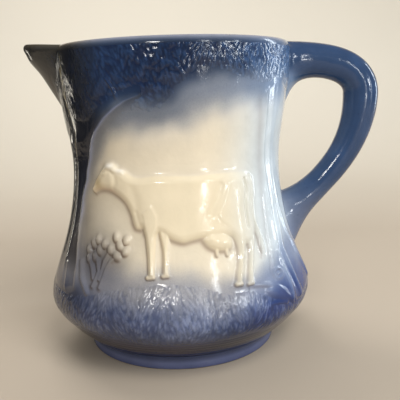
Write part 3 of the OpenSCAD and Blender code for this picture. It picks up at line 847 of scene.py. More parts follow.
def floor_piece():
    """The floor: a let-in disc, dished where it runs up into the wall."""
    under_z = FOOT_H + 0.02
    profile = [(AXIS_R, FLOOR_Z)] + [(r, FLOOR_Z + 0.0002 * r) for r in (12.0, 24.0, 36.0, 44.0)]
    profile += [(48.0, FLOOR_Z + 0.15), (51.0, FLOOR_Z + 0.7), (53.5, FLOOR_Z + 1.7), (55.6, FLOOR_Z + 3.2),
                (57.6, FLOOR_Z + 3.6), (54.0, 9.6), (HEEL_IN_R, 8.0)]
    profile += [(HEEL_IN_R, under_z), (30.0, under_z), (AXIS_R, under_z)]
    profile = np.array(profile)
    under = profile[:, 1] < 9.0
    colours = np.where(under[:, None], CLAY, INSIDE)
    turned_piece("let_in_floor", profile, colours, ["base_floor"], inside_glaze)


# Canopy of leaves, on the wall and on the beak

# Lower edge of the leaves as (angle, height)
LEAF_EDGE = [(-90, 124), (-75, 124), (-62, 126), (-52, 130), (-44, 133), (-36, 138), (-30, 140),
             (-25, 138), (-18, 140), (-11, 140), (-6, 141), (-2, 146), (2.5, 152), (7, 158), (11, 161),
             (20, 160), (27, 157), (35, 154), (42, 151), (50, 149), (58, 150), (75, 148), (90, 146)]

# Lean of the leaves in radians, by angle
LEAF_LEAN = [(-90, -0.1), (-50, -0.35), (-20, -0.5), (0, -0.35), (14, 0.0), (40, -0.05), (60, -0.25),
             (90, 0)]


def leaf_marks(count):
    """Seeded strokes of the leaves: shorter and steeper near the rim, fanned out like hanging sprays."""
    angle = rng.uniform(-94.0, 94.0, count)
    z = rng.uniform(122.0, 181.0, count)
    l = length(angle)
    edge = table(angle, LEAF_EDGE)
    over = z - edge + rng.normal(0.0, 1.3, count)
    lean = table(angle, LEAF_LEAN) + 0.35 * swell(l, z, 11, 22.0) + rng.normal(0.0, 0.13, count)
    half = rng.uniform(1.5, 2.8, count)
    wide = rng.uniform(0.55, 0.90, count)
    depth = rng.uniform(0.12, 0.34, count) * ramp(over, -1.5, 7.0) ** 0.6
    beside_beak = mix(0.35, 1.0, ramp(angle, -52.0, -34.0))
    depth = depth * np.maximum(beside_beak, bell(angle + 62.0, 4.0))
    tone = rng.uniform(-1.0, 1.0, count)
    marks = np.column_stack([l, z, lean, half, wide, depth, tone])
    return marks[over > -1.0]


LEAVES = leaf_marks(4600)


def leaf_field(angle, z):
    """Height of the leaves over the wall, and the tone of the stroke that shows."""
    a = near_angle(angle)
    l = length(a)
    top, tone = strokes(l, z, LEAVES)
    body = ramp(z - table(a, LEAF_EDGE), 0.0, 9.0)
    ground = mix(-0.9, 0.30 + 0.14 * swell(l, z, 12, 16.0), body ** 0.5)
    return smooth_max(ground, ground + top - 0.9 * (top <= 0), 0.05), tone, top


def leaf_colour(angle, z, top, tone):
    """Blue of the leaves: darker where the glaze pools between strokes, paler along their ridges, and with
    a painted pale reflection on the ridges beside the beak."""
    colour, spray = jug_colour(angle, z)
    a = near_angle(angle)
    ridge = ramp(top, 0.10, 0.26)
    deep = 1.0 - ramp(top, 0.01, 0.10)
    colour = tint(colour, SKY_COBALT * 1.25, 0.30 * spray * ridge * ramp(a, -56.0, -16.0))
    colour = tint(colour, COBALT * POOL_SHADE, 0.42 * spray ** 2 * deep)
    colour = colour * (1.0 + 0.11 * tone * spray)[..., None]
    # Painted pale reflection on the leaf ridges beside the beak
    broken = bell(a + 62.5, 3.6) * ramp(z, 120.0, 140.0)
    colour = tint(colour, RIDGE_REFLECTION_CREAM, 0.75 * broken * ramp(top + 0.05 * tone, 0.13, 0.24))
    return np.clip(colour, 0.0, 1.0), spray


def spout_piece():
    """The beak: rows that stand out of the wall by the reach times the share left across it, over a rounded
    edge, and down the channel inside, with leaf strokes on its outside."""
    cols = 181
    u = np.linspace(-1.0, 1.0, cols)[None, :]
    share = beak_share(np.abs(u))
    top_v = (LIP_Z - SPOUT_Z) / SPOUT_H
    t = np.linspace(0.0, 1.0, 91)[:, None]
    turn = np.linspace(0.0, math.pi, 19)[1:-1][:, None]
    z_top = LIP_Z + SPOUT_RISE * share

    def beak_rows(v, z, radius, reach):
        return radius(np.minimum(z, JUG_H)) + reach * v ** BEAK_POWER * share

    def bead(z):
        """Swelling under the edge of the beak, a bell of the height over its top row, and a wider bell
        below it that fills out the throat's front."""
        return share * (0.9 * bell(z - z_top - 1.0, 3.0) + 2.0 * bell(z - 173.0, 6.0))

    def across(v):
        return -SIDE + u * spout_half(v)

    v, z_rows = t * top_v, mix(SPOUT_Z, z_top, t)
    r_out = beak_rows(v, z_rows, wall_r, SPOUT_REACH) + bead(z_rows)
    r_in = beak_rows(v, z_rows, inner_r, SPOUT_IN_REACH)
    v_edge = top_v + (1.0 - top_v) * np.sin(turn)
    z_edge = z_top + LIP_H * np.sin(turn)
    r_edge, _ = edge_ring(turn, beak_rows(v_edge, z_edge, wall_r, SPOUT_REACH) + bead(z_edge),
                          beak_rows(v_edge, z_edge, inner_r, SPOUT_IN_REACH), z_top)
    angle_out = across(v)
    h, tone, top = leaf_field(angle_out, np.minimum(z_rows, JUG_H) + 0.0 * u)
    fade = ramp(t, 0.12, 0.3) * ramp(1.0 - t, 0.0, 0.06) * ramp(np.abs(u), 0.62, 0.95)
    h_out = np.maximum(h, 0.0) * fade
    r = np.concatenate([r_out + h_out, r_edge, r_in[::-1]])
    z = np.concatenate([z_rows, z_edge, z_rows[::-1]])
    angle = np.concatenate([angle_out, across(v_edge), angle_out[::-1]])
    colour, spray = jug_colour(angle, np.minimum(z, JUG_H))
    leafy, _ = leaf_colour(angle_out, z_rows + 0.0 * u, top, tone)
    colour[:len(t)] = tint(colour[:len(t)], leafy, fade)
    turns = np.concatenate([0.0 * t, turn, math.pi + 0.0 * t])
    lining = tint(INSIDE, SLATE, 0.8 * ramp(z, 158.0, 178.0))
    colour = tint(colour, lining, ramp(turns, 1.9, 2.7))
    colour = tint(colour, BEAK_RIM, 0.55 * rim_tone(turns))
    put_welded("pulled_beak", ring(angle, r, z), folded(len(z), cols), colour, spray, ["spout"],
               handle_glaze)


def relief_pieces(name, angle, z, h, colour, spray, nodes, material, floor=-0.10):
    """A relief on the near side and its mirror image on the far side: a shell whose front stands h over the
    wall and whose back is sunk into it, over the cells where the front isn't sunk."""
    high = np.maximum.reduce([h[:-1, :-1], h[:-1, 1:], h[1:, :-1], h[1:, 1:]])
    keep = tidy_cells(high > floor)
    front = on_wall(angle, z, h).reshape(-1, 3)
    back = on_wall(angle, z, np.minimum(h, 0.0) - SHELL_T).reshape(-1, 3)
    points = np.concatenate([front, back])
    colours = np.tile(linear(colour).reshape(-1, 3), (2, 1))
    sprays = np.tile(spray.ravel(), 2)
    tris = shell_faces(keep)
    for side, mirrored in zip(("near", "far"), (False, True)):
        put(name + "_" + side, points, tris, colours, sprays, [nodes + "_" + side], material,
            mirrored)


def canopy_pieces():
    """The leaf band: from the beak to the middle of the handle, under the lip."""
    z = heights(118.0, LIP_Z, 0.48)[:, None]
    angle = mix(-SIDE + spout_half(spout_v(z)), SIDE, np.linspace(0.0, 1.0, 460)[None, :])
    z = z + 0.0 * angle
    h, tone, top = leaf_field(angle, z)
    colour, spray = leaf_colour(angle, z, top, tone)
    relief_pieces("leaf_band", angle, z, h, colour, spray, "leaf_canopy", leaf_glaze)


# Grass

# Upper edge of the grass as (angle, height)
GRASS_EDGE = [(-90, 50), (-52, 49), (-38, 52), (-30, 54), (-22, 57), (-14, 58.5), (-2, 59), (8, 56.5),
              (20, 52), (32, 51), (40, 47), (50, 43), (72, 44), (90, 46)]

# Mounds of the bank's edge: angle, height, half width
TUSSOCKS = [(-37.0, 51.0, 6.0), (-24.0, 54.0, 7.0), (-7.0, 55.5, 8.0), (10.0, 52.0, 7.0),
            (27.0, 48.5, 7.0)]


def grass_marks(count):
    """Seeded blades of grass: long and upright on the bank, shorter and leaning further down."""
    angle = rng.uniform(-92.0, 92.0, count)
    z = rng.uniform(17.0, 62.0, count)
    l = length(angle)
    edge = table(angle, GRASS_EDGE)
    under = edge - z + rng.normal(0.0, 1.2, count)
    lean = 0.45 * swell(l, z, 21, 34.0) + rng.normal(0.0, 0.16, count)
    half = rng.uniform(1.8, 4.0, count) * mix(1.0, 0.75, ramp(under, 10.0, 30.0))
    wide = rng.uniform(0.5, 0.85, count)
    depth = rng.uniform(0.10, 0.30, count) * ramp(under, -2.0, 8.0) ** 0.6 * ramp(z, 20.0, 32.0)
    tone = rng.uniform(-1.0, 1.0, count)
    marks = np.column_stack([l, z, lean, half, wide, depth, tone])
    return marks[under > -1.5]


def grass_pieces():
    """The grass bank: low mounds with tooled blades, from the beak's side to the handle's."""
    angle, z, l = patch(15.0, 66.0, 0.55, -SIDE, SIDE, 470)
    top, tone = strokes(l, z, grass_marks(4200))
    bank = ramp(table(angle, GRASS_EDGE) - z, -1.0, 10.0)
    foot = ramp(z, 17.0, 29.0)
    mounds = 0.42 + 0.20 * swell(l, z, 22, 24.0)
    for middle, height, wide in TUSSOCKS:
        mounds = mounds + mound(l, z, middle, height, wide, 2.2, 0.30)
    ground = mix(-1.0, mounds, bank ** 0.6)
    h = smooth_max(ground, ground + top - 1.2 * (top <= 0), 0.06)
    h = mix(-1.2, h, foot ** 0.4)
    colour, spray = jug_colour(angle, z)
    ridge = ramp(top, 0.11, 0.24)
    deep = 1.0 - ramp(top, 0.015, 0.10)
    colour = tint(colour, BLADE_PALE, 0.26 * spray * ridge)
    colour = tint(colour, NIGHT_MIST, 0.36 * spray * deep)
    clumps = ramp(swell(l, z * 1.6, 23, 22.0), 0.0, 0.9) * ramp(52.0 - z, 0.0, 10.0)
    colour = tint(colour, DEEP_MIST, 0.35 * spray * clumps)
    colour = np.clip(colour * (1.0 + 0.11 * tone * spray)[..., None], 0.0, 1.0)
    relief_pieces("grass_band", angle, z, h, colour, spray, "grass_bank", grass_glaze)


# Cow: outlines as (angle, height), and limbs as (angle, height, radius, depth)

TORSO = [(-46.1, 102.9), (-44.9, 105.1), (-42.8, 107.8), (-40.8, 110.1), (-39.5, 112.4), (-38.3, 114.9),
         (-36.7, 117.0), (-34.3, 118.0), (-31.9, 118.0), (-29.8, 116.8), (-28.4, 115.1), (-26.2, 114.5),
         (-24.4, 113.4), (-22.9, 112.0), (-20.9, 110.8), (-18.1, 110.3), (-14.7, 110.7), (-10.3, 111.4),
         (-5.7, 111.2), (-0.6, 111.1), (4.5, 110.8), (10.6, 110.8), (17.0, 111.1), (23.7, 111.2),
         (30.5, 111.0), (34.8, 110.3), (37.4, 108.9), (39.7, 106.5), (40.5, 102.0), (40.2, 96.6),
         (39.3, 91.3), (39.0, 85.9), (38.8, 81.6), (37.4, 76.5), (35.4, 71.6), (31.0, 70.4),
         (27.6, 72.6), (23.9, 75.3), (19.1, 76.5), (14.3, 76.1), (9.5, 76.1), (6.2, 75.4), (1.2, 74.4),
         (-3.6, 76.1), (-6.9, 78.7), (-8.9, 80.0), (-13.2, 79.4), (-15.7, 79.6), (-16.5, 81.6),
         (-17.6, 81.3), (-19.6, 81.5), (-20.8, 82.5), (-22.0, 85.2), (-22.9, 88.8), (-24.4, 92.4),
         (-26.0, 95.2), (-28.2, 97.4), (-30.6, 99.1), (-33.1, 100.4), (-35.6, 101.1), (-38.5, 101.2),
         (-40.6, 100.8), (-42.2, 100.0), (-43.8, 99.2), (-45.3, 100.1), (-46.2, 101.5)]
THIGH = [(22.5, 107.4), (20.8, 103.4), (18.9, 98.3), (16.6, 93.3), (15.2, 89.8), (15.5, 86.7),
         (17.1, 83.4), (19.5, 80.6), (22.2, 77.6), (24.3, 74.4), (25.3, 70.9), (25.3, 66.8),
         (24.6, 62.4), (23.3, 58.1), (22.5, 54.8), (21.9, 51.7), (25.7, 51.3), (26.2, 54.0),
         (27.4, 58.8), (28.8, 63.6), (30.1, 68.5), (31.6, 73.4), (32.6, 78.5), (32.4, 82.9),
         (32.3, 87.3), (32.8, 92.0), (33.6, 96.6), (34.2, 101.8), (33.7, 106.7), (30.5, 109.5),
         (25.9, 110.0)]
FORE_LEG = [(-17.8, 91.6), (-17.3, 87.5), (-16.6, 82.9), (-15.6, 78.4), (-15.0, 73.4), (-14.4, 68.4),
            (-14.1, 63.5), (-13.9, 60.1), (-14.2, 57.8), (-10.3, 58.2), (-10.2, 60.7), (-10.4, 64.6),
            (-10.3, 69.5), (-10.0, 74.5), (-9.7, 79.0), (-8.4, 83.5), (-8.5, 90.7), (-12.2, 96.3)]
FAR_FORE_LEG = [(-9.6, 84.0), (-8.6, 76.5), (-7.8, 71.5), (-7.6, 66.0), (-7.7, 61.2), (-7.9, 58.5),
                (-4.3, 58.9), (-4.5, 61.6), (-4.9, 65.5), (-4.9, 70.4), (-4.6, 74.4), (-4.2, 84.0)]
FAR_HIND_LEG = [(31.6, 73.4), (31.3, 68.2), (30.3, 63.3), (29.1, 58.4), (27.9, 53.6), (27.3, 50.6),
                (31.2, 50.2), (31.8, 54.7), (32.8, 59.6), (34.2, 64.5), (35.6, 69.4), (36.6, 74.6),
                (34.1, 78.1)]
UDDER = [(9.4, 76.6), (10.3, 73.7), (12.1, 71.3), (14.6, 69.6), (17.7, 68.8), (21.0, 68.8),
         (23.4, 70.2), (24.6, 72.6), (24.0, 76.3), (20.9, 79.8), (16.2, 81.2), (11.9, 80.2)]
TAIL = [(36.6, 107.0, 2.1, 2.6), (37.0, 104.5, 2.4, 3.1), (37.3, 99.2, 2.5, 3.2),
        (36.6, 92.9, 2.4, 3.1), (36.3, 87.0, 2.2, 3.0), (36.9, 82.5, 2.0, 2.8), (38.4, 77.9, 2.2, 2.2),
        (39.7, 72.7, 2.6, 1.7), (40.0, 67.8, 2.5, 1.1), (39.8, 63.9, 2.0, 0.5), (39.4, 61.0, 1.4, 0.1)]
FACE = [(-35.6, 113.0, 2.8, 2.3), (-38.8, 109.9, 2.8, 2.3), (-42.0, 106.0, 2.6, 2.2),
        (-43.7, 102.6, 2.2, 2.1)]
SKULL = [(-44.5, 102.0, 2.0, 1.9), (-41.6, 104.0, 2.8, 2.3), (-37.6, 106.8, 3.8, 2.6),
         (-33.2, 108.6, 4.8, 2.6)]


# Plates of the legs: outline, depth, width of the rounded edge, fillet
LEGS = [(THIGH, 2.95, 4.6, 0.5), (FORE_LEG, 2.75, 2.8, 0.6), (FAR_FORE_LEG, 1.5, 2.0, 0.35),
        (FAR_HIND_LEG, 1.8, 2.2, 0.35)]

# Swellings: angle, height, half width, half height, depth
SWELLINGS = [(-2.0, 93.0, 16.0, 11.0, 0.75), (-14.5, 97.0, 7.0, 9.5, 0.50), (-13.0, 85.0, 4.0, 6.0, 0.35),
             (26.0, 92.0, 7.5, 10.0, 0.45), (23.5, 104.5, 4.0, 3.5, 0.40), (-25.0, 105.0, 8.0, 6.0, 0.35),
             (-32.3, 106.8, 3.4, 3.6, 0.55), (-38.0, 105.5, 3.4, 3.0, 0.35), (-43.8, 102.4, 2.2, 2.4, 0.75),
             (-36.6, 111.4, 1.5, 1.2, 0.55), (17.5, 74.0, 6.0, 3.8, 0.5)]

# Grooves: line as (angle, height), half width, depth
GROOVES = [([(20.3, 104.0), (18.3, 97.5), (15.9, 92.5), (14.4, 88.5)], 1.6, 0.55),
           ([(-19.4, 91.0), (-18.2, 86.5), (-17.2, 82.0)], 1.3, 0.45),
           ([(-21.5, 104.0), (-19.5, 98.0), (-18.8, 92.0)], 2.4, 0.28),
           ([(-30.6, 110.6), (-30.0, 106.6), (-31.0, 103.2)], 1.4, 0.35),
           ([(-44.4, 100.4), (-42.3, 101.3), (-40.2, 102.2)], 0.55, 0.40),
           ([(33.0, 106.0), (33.9, 100.0), (32.9, 94.0), (32.6, 86.0), (33.0, 79.0)], 0.9, 1.2)]

# Tuft and ear as swellings, and the lines and limbs of the head, udder and feet
POLL = [(-33.6, 115.6, 2.8, 1.7, 0.95), (-30.6, 113.6, 1.8, 1.6, 0.5), (-27.0, 113.0, 2.8, 1.3, 0.9)]
POLL_GROOVE = [(-36.4, 113.2), (-33.4, 112.6), (-31.4, 111.4)]
BROW = [(-37.7, 111.5), (-36.9, 112.1), (-36.0, 111.9)]
TEATS = [[(15.9, 71.0, 1.5, 1.5), (15.8, 67.8, 1.0, 0.8)],
         [(20.4, 70.6, 1.5, 1.5), (20.5, 67.4, 1.0, 0.8)]]
HOOVES = [[(-13.5, 58.4, 1.5, 1.9), (-11.4, 58.7, 1.5, 1.9)],
          [(-7.2, 59.2, 1.4, 1.2), (-5.4, 59.4, 1.4, 1.2)],
          [(22.8, 52.4, 1.5, 1.9), (24.8, 52.3, 1.5, 1.9)],
          [(28.3, 51.5, 1.4, 1.4), (30.2, 51.4, 1.4, 1.4)]]


def cow_height(l, z):
    """The cow: rounded plates for the trunk, udder and legs, run together with fillets, then the swellings
    of shoulder, ribs, hip and cheek and the grooves between them, then head, tail, poll, teats and
    hooves."""
    udder = plate(l, z, rounded(UDDER), 2.8, 6.0)
    h = smooth_max(plate(l, z, rounded(TORSO), 2.5, 5.2), udder - 0.1, 0.5)
    for outline, depth, edge, fillet in LEGS:
        h = smooth_max(h, plate(l, z, rounded(outline), depth, edge), fillet)
    flesh = ramp(h, 0.6, 2.0)
    form = sum(mound(l, z, *swelling) for swelling in SWELLINGS)
    form = form + sum(crease(l, z, *groove) for groove in GROOVES)
    h = h + form * flesh
    for stations, fillet in ((SKULL, 0.8), (FACE, 0.8), (TAIL, 0.35)):
        h = smooth_max(h, limb(l, z, stations), fillet)
    h = h + flesh * sum(mound(l, z, *swelling) for swelling in POLL)
    h = h + flesh * crease(l, z, POLL_GROOVE, 0.9, 0.35)
    for stations in TEATS:
        h = smooth_max(h, limb(l, z, stations), 0.3)
    h = h + crease(l, z, BROW, 0.45, 0.40) - mound(l, z, -44.9, 103.6, 0.5, 0.4, 0.35)
    return smooth_max(h, limbs(l, z, HOOVES), 0.2)


def pooled_and_shaded(colour, h, share):
    """Glaze that pools round the foot of a relief, and painted shade: tinted where the front is just off
    the wall, most where the slope faces down and towards the spout, the side painted as shaded, as the
    slope of h over the grid tells."""
    up, along = np.gradient(h)
    steep = np.hypot(up, along)
    facing = (0.8 * up + 0.6 * along) / np.maximum(steep, 1e-6)
    side = mix(0.10, 1.0, ramp(facing, -0.2, 0.9)) * ramp(steep, 0.03, 0.15)
    return tint(colour, colour * POOL_AND_SHADE_TINT, share * bell(h - 0.25, 0.75) * side)


def cow_pieces():
    """The cow and its mirror image."""
    angle, z, l = patch(48.0, 122.0, 0.35, -51.0, 47.5, 338)
    raw = cow_height(l, z)
    colour, spray = jug_colour(angle, z)
    coat = ramp(raw, 0.3, 1.4)
    # The coat turns cooler towards the handle: a cool tint and painted cool window light
    colour = tint(colour, tint(WARM_CREAM, PALE_BLUE, 0.75 * ramp(angle, 14.0, 46.0)), 0.60 * coat)
    # Painted warm shade on the face
    colour = tint(colour, FACE_SHADE_TAN, mound(l, z, -40.5, 105.5, 3.6, 3.6, 0.50) * coat)
    # Painted warm shade under the jaw and throat
    colour = tint(colour, THROAT_SHADE, mound(l, z, -36.5, 101.5, 6.0, 1.8, 0.40) * coat)
    # Painted highlight on the top of the head and the ear, which face up to the light
    tuft_highlight = mound(l, z, -33.4, 115.6, 3.4, 1.9, 1.0) + mound(l, z, -27.2, 113.2, 3.6, 1.7, 1.0)
    colour = tint(colour, TUFT_HIGHLIGHT_WHITE, 0.8 * np.clip(tuft_highlight, 0.0, 1.0) * coat)
    # Pooling glaze and painted shade round the cow's edges
    colour = pooled_and_shaded(colour, raw, 0.55)
    relief_pieces("cow_relief", angle, z, seated(raw), colour, spray * (1.0 - 0.7 * coat), "cow",
                  figure_glaze, floor=-0.05)


# Trees: outlines as (angle, height), limbs as (angle, height, radius, depth), bark lines as (height, angle)

SPOUT_TRUNK = [(-84.0, 44.0), (-80.0, 52.0), (-77.0, 62.0), (-74.0, 76.0), (-72.0, 92.0),
               (-70.0, 106.0), (-68.5, 120.0), (-68.0, 132.0), (-69.0, 142.0), (-70.0, 152.0),
               (-66.0, 157.0), (-60.0, 150.0), (-54.0, 142.0), (-48.0, 139.0), (-42.0, 143.0),
               (-35.0, 148.5), (-28.0, 153.5), (-21.0, 156.5), (-13.0, 156.0), (-11.0, 151.5),
               (-19.0, 147.4), (-24.3, 143.4), (-30.4, 138.2), (-36.4, 131.8), (-40.6, 125.6),
               (-43.4, 118.3), (-45.9, 112.0), (-47.4, 106.3), (-49.3, 100.8), (-51.0, 94.8),
               (-52.0, 89.0), (-51.8, 81.0), (-50.8, 73.0), (-50.0, 67.6), (-48.8, 60.4), (-47.5, 53.0),
               (-50.0, 46.0), (-60.0, 43.0), (-72.0, 42.5)]
HANDLE_TRUNK = [(36.0, 45.0), (41.0, 51.0), (42.6, 59.0), (43.8, 68.0), (45.2, 82.0), (45.6, 100.0),
                (44.6, 118.0), (43.2, 134.0), (42.0, 150.0), (50.0, 158.0), (60.0, 158.0),
                (68.0, 150.0), (70.5, 130.0), (71.0, 110.0), (70.5, 92.0), (71.5, 76.0), (74.5, 62.0),
                (79.0, 50.0), (84.0, 42.0), (70.0, 36.0), (55.0, 33.0), (43.0, 38.0)]


def flutes(l, z, mids, wide, depth):
    """Bark ridges: bell curves across lines given as tables of (height, angle)."""
    return sum(depth * bell(l - length(table(z, line)), wide) for line in mids)


SPOUT_BARK = [[(42, -64), (70, -63), (100, -60.5), (130, -56), (150, -60)],
              [(42, -75), (60, -71.5), (90, -67.5), (120, -64), (150, -67)]]
SPOUT_CROWN = [(-90, 126), (-62, 126), (-50, 128), (-44, 131), (-34, 141), (-28, 146), (-20, 150),
               (-12, 152)]
SPOUT_ROOTS = [[(-49.5, 62.0, 2.0, 1.7), (-46.6, 53.5, 1.9, 1.6), (-42.0, 47.0, 1.3, 1.0)],
               [(-60.0, 58.0, 2.6, 1.5), (-58.0, 46.0, 2.0, 0.9)]]
TWIG = [(-24.6, 147.5, 0.9, 0.2), (-25.6, 151.0, 1.2, 0.9), (-27.0, 155.0, 1.1, 1.0),
        (-30.0, 160.0, 0.9, 0.8)]
HANDLE_RIDGE = [(40, 50.6), (54, 49.1), (58, 49.4), (64, 48.6), (69, 49.6), (74, 49.8), (80, 50.3),
                (94, 50.2), (103, 49.6), (111, 48.3), (150, 46.4)]
HANDLE_BARK = [[(36, 76), (56, 70.5), (65, 65.8), (71.5, 62.8), (79, 61.4), (87, 59.5), (110, 58.0),
                (150, 56.0)],
               [(36, 58), (48, 55.5), (56, 53.2), (63, 53.4), (74, 55.5), (92, 56.0), (150, 52.0)]]
HANDLE_ROOTS = [[(29.0, 50.6, 1.0, 0.2), (34.4, 49.6, 1.4, 0.7), (41.2, 47.4, 1.7, 1.3),
                 (45.4, 43.3, 1.7, 1.7), (48.4, 38.9, 1.6, 1.5), (51.5, 34.0, 1.1, 0.8)],
                [(36.0, 38.6, 1.2, 0.3), (41.0, 38.0, 1.4, 0.7), (46.6, 36.2, 1.3, 0.8)],
                [(49.4, 58.0, 1.8, 2.1), (50.6, 49.0, 1.9, 2.5), (51.4, 41.5, 1.7, 2.2),
                 (53.0, 34.5, 1.2, 1.1)],
                [(54.0, 62.0, 1.9, 2.0), (55.4, 52.0, 2.0, 2.4), (57.0, 43.0, 1.8, 2.0),
                 (60.0, 35.0, 1.3, 1.1)],
                [(66.0, 62.0, 2.4, 1.8), (70.0, 52.0, 2.4, 1.9), (74.0, 42.0, 1.8, 1.3)]]


def spout_tree_height(l, z):
    """Trunk beside the spout: a rounded plate with a ridge near its right edge, sunk under the leaves at
    its crown and lower along the bough, with roots and a twig."""
    trunk = plate(l, z, rounded(SPOUT_TRUNK), 1.5, 3.4)
    bark = flutes(l, z, [TRUNK_RIDGE], 1.0, 0.85) + flutes(l, z, SPOUT_BARK, 2.4, 0.28)
    crown = ramp(z - table(np.degrees(l / ARC_R), SPOUT_CROWN), 0.0, 9.0)
    trunk = trunk * mix(1.0, 0.45, ramp(l, length(-42.0), length(-22.0)) * (trunk > 0))
    trunk = mix(trunk, 0.35 * trunk - 0.3, crown)
    h = (trunk + bark * ramp(trunk, 0.2, 1.0)) * mix(0.25, 1.0, ramp(z, 40.0, 62.0))
    h = smooth_max(h, limbs(l, z, SPOUT_ROOTS), 0.5)
    return smooth_max(h, limb(l, z, TWIG), 0.3)


def handle_tree_height(l, z):
    """Trunk beside the handle: a rounded plate with long flutes that run down into roots, and a knot made
    of a ring, a hollow in it and a bud in the middle."""
    trunk = plate(l, z, rounded(HANDLE_TRUNK), 1.3, 4.2)
    calm = mix(1.0, 0.45, ramp(z, 84.0, 118.0))
    bark = flutes(l, z, [HANDLE_RIDGE], 1.3, 1.0) * calm + flutes(l, z, HANDLE_BARK, 1.6, 0.6) * calm ** 2.5
    h = trunk * mix(1.0, 0.7, ramp(z, 84.0, 118.0)) + bark * ramp(trunk, 0.3, 1.2)
    away = np.hypot((l - length(45.3)) / 1.15, z - 52.2)
    knot = 0.6 * bell(away - 2.5, 0.7) - 0.7 * bell(away - 1.5, 0.5) + 0.5 * bell(away, 0.9)
    return smooth_max(h, limbs(l, z, HANDLE_ROOTS), 0.7) + knot * ramp(7.0 - away, 0.0, 3.0)


def tree_pieces(name, nodes, low_angle, high_angle, cols, shape):
    """A tree and its mirror image, shaded by the blue that is sprayed over it."""
    angle, z, l = patch(33.0, 168.0, 0.5, low_angle, high_angle, cols)
    clear = ramp(spout_half(spout_v(z)) - (angle + SIDE), -1.5, 0.5)
    raw = mix(shape(l, z), -9.0, clear)
    colour, spray = jug_colour(angle, z)
    # Painted cool window light on the tallest relief towards the handle
    colour = tint(colour, PALE_BLUE, 0.25 * ramp(raw, 1.7, 2.5) * ramp(angle, 0.0, 10.0))
    # Pooling glaze and painted shade round the tree's edges
    colour = pooled_and_shaded(colour, raw, 0.25)
    relief_pieces(name, angle, z, seated(raw), colour, spray, nodes, tree_glaze, floor=-0.05)


# Flowers: petals as (angle, height, lean), stems as (angle, height, radius, depth)

PETALS = [(-29.8, 77.4, 0.15), (-24.5, 76.4, -0.30), (-27.8, 73.3, 0.35), (-32.5, 71.0, 0.1),
          (-24.6, 70.8, -0.5), (-28.9, 67.8, 0.9), (-40.3, 75.1, 0.1), (-43.0, 72.6, 0.4),
          (-38.7, 69.6, 0.2), (-45.6, 69.0, 0.5), (-40.9, 66.1, 0.3), (-36.2, 73.4, -0.3),
          (-44.6, 64.6, 0.5)]
STEMS = [[(-29.5, 67.0, 1.0, 0.4), (-32.0, 64.5, 1.2, 0.6), (-33.6, 61.0, 1.3, 0.6),
          (-34.6, 56.0, 1.2, 0.5), (-35.6, 51.0, 1.0, 0.3)],
         [(-33.3, 69.0, 1.1, 0.5), (-35.0, 64.5, 1.5, 0.8), (-35.8, 60.0, 1.3, 0.6),
          (-36.6, 55.0, 1.0, 0.4)],
         [(-39.6, 66.0, 1.1, 0.6), (-38.7, 62.8, 1.3, 0.7), (-37.4, 59.0, 1.3, 0.7),
          (-38.4, 55.0, 1.3, 0.7), (-39.6, 51.0, 1.1, 0.4)],
         [(-43.4, 63.0, 1.4, 0.6), (-41.4, 59.5, 1.6, 0.8), (-40.0, 55.0, 1.2, 0.5)]]


def flower_height(l, z):
    """Two heads of egg-shaped petals on stems: one less the distance from the middle to the power 2.2,
    times the height, and tilted so that one side of each petal stands over its neighbour."""
    h = np.full(l.shape, -20.0)
    for stations in STEMS:
        h = smooth_max(h, limb(l, z, stations), 0.25)
    for k, (a, up, lean) in enumerate(PETALS):
        dx, dz = l - length(a), z - up
        p = (dz * math.cos(lean) - dx * math.sin(lean)) / 3.1
        q = (dx * math.cos(lean) + dz * math.sin(lean)) / 2.45
        far = np.hypot(p, q)
        full = 1.35 + 0.22 * math.sin(2.4 * k)
        tilt = 1.0 + 0.30 * np.clip(q, -1.0, 1.0)
        h = smooth_max(h, full * np.where(far < 1, (1 - far ** 2.2) * tilt, 2.2 - 2.2 * far), 0.25)
    return h


def flower_pieces():
    """The flowers and their mirror image."""
    angle, z, l = patch(45.0, 82.0, 0.3, -51.0, -20.0, 130)
    raw = flower_height(l, z)
    colour, spray = jug_colour(angle, z)
    colour = tint(colour, CREAM, 0.12 * ramp(raw, 0.4, 1.5))
    # Pooling glaze and painted shade round the petals and stems
    colour = pooled_and_shaded(colour, raw, 0.85)
    relief_pieces("flower_relief", angle, z, seated(raw), colour, spray, "flowers",
                  figure_glaze, floor=-0.05)


# Handle

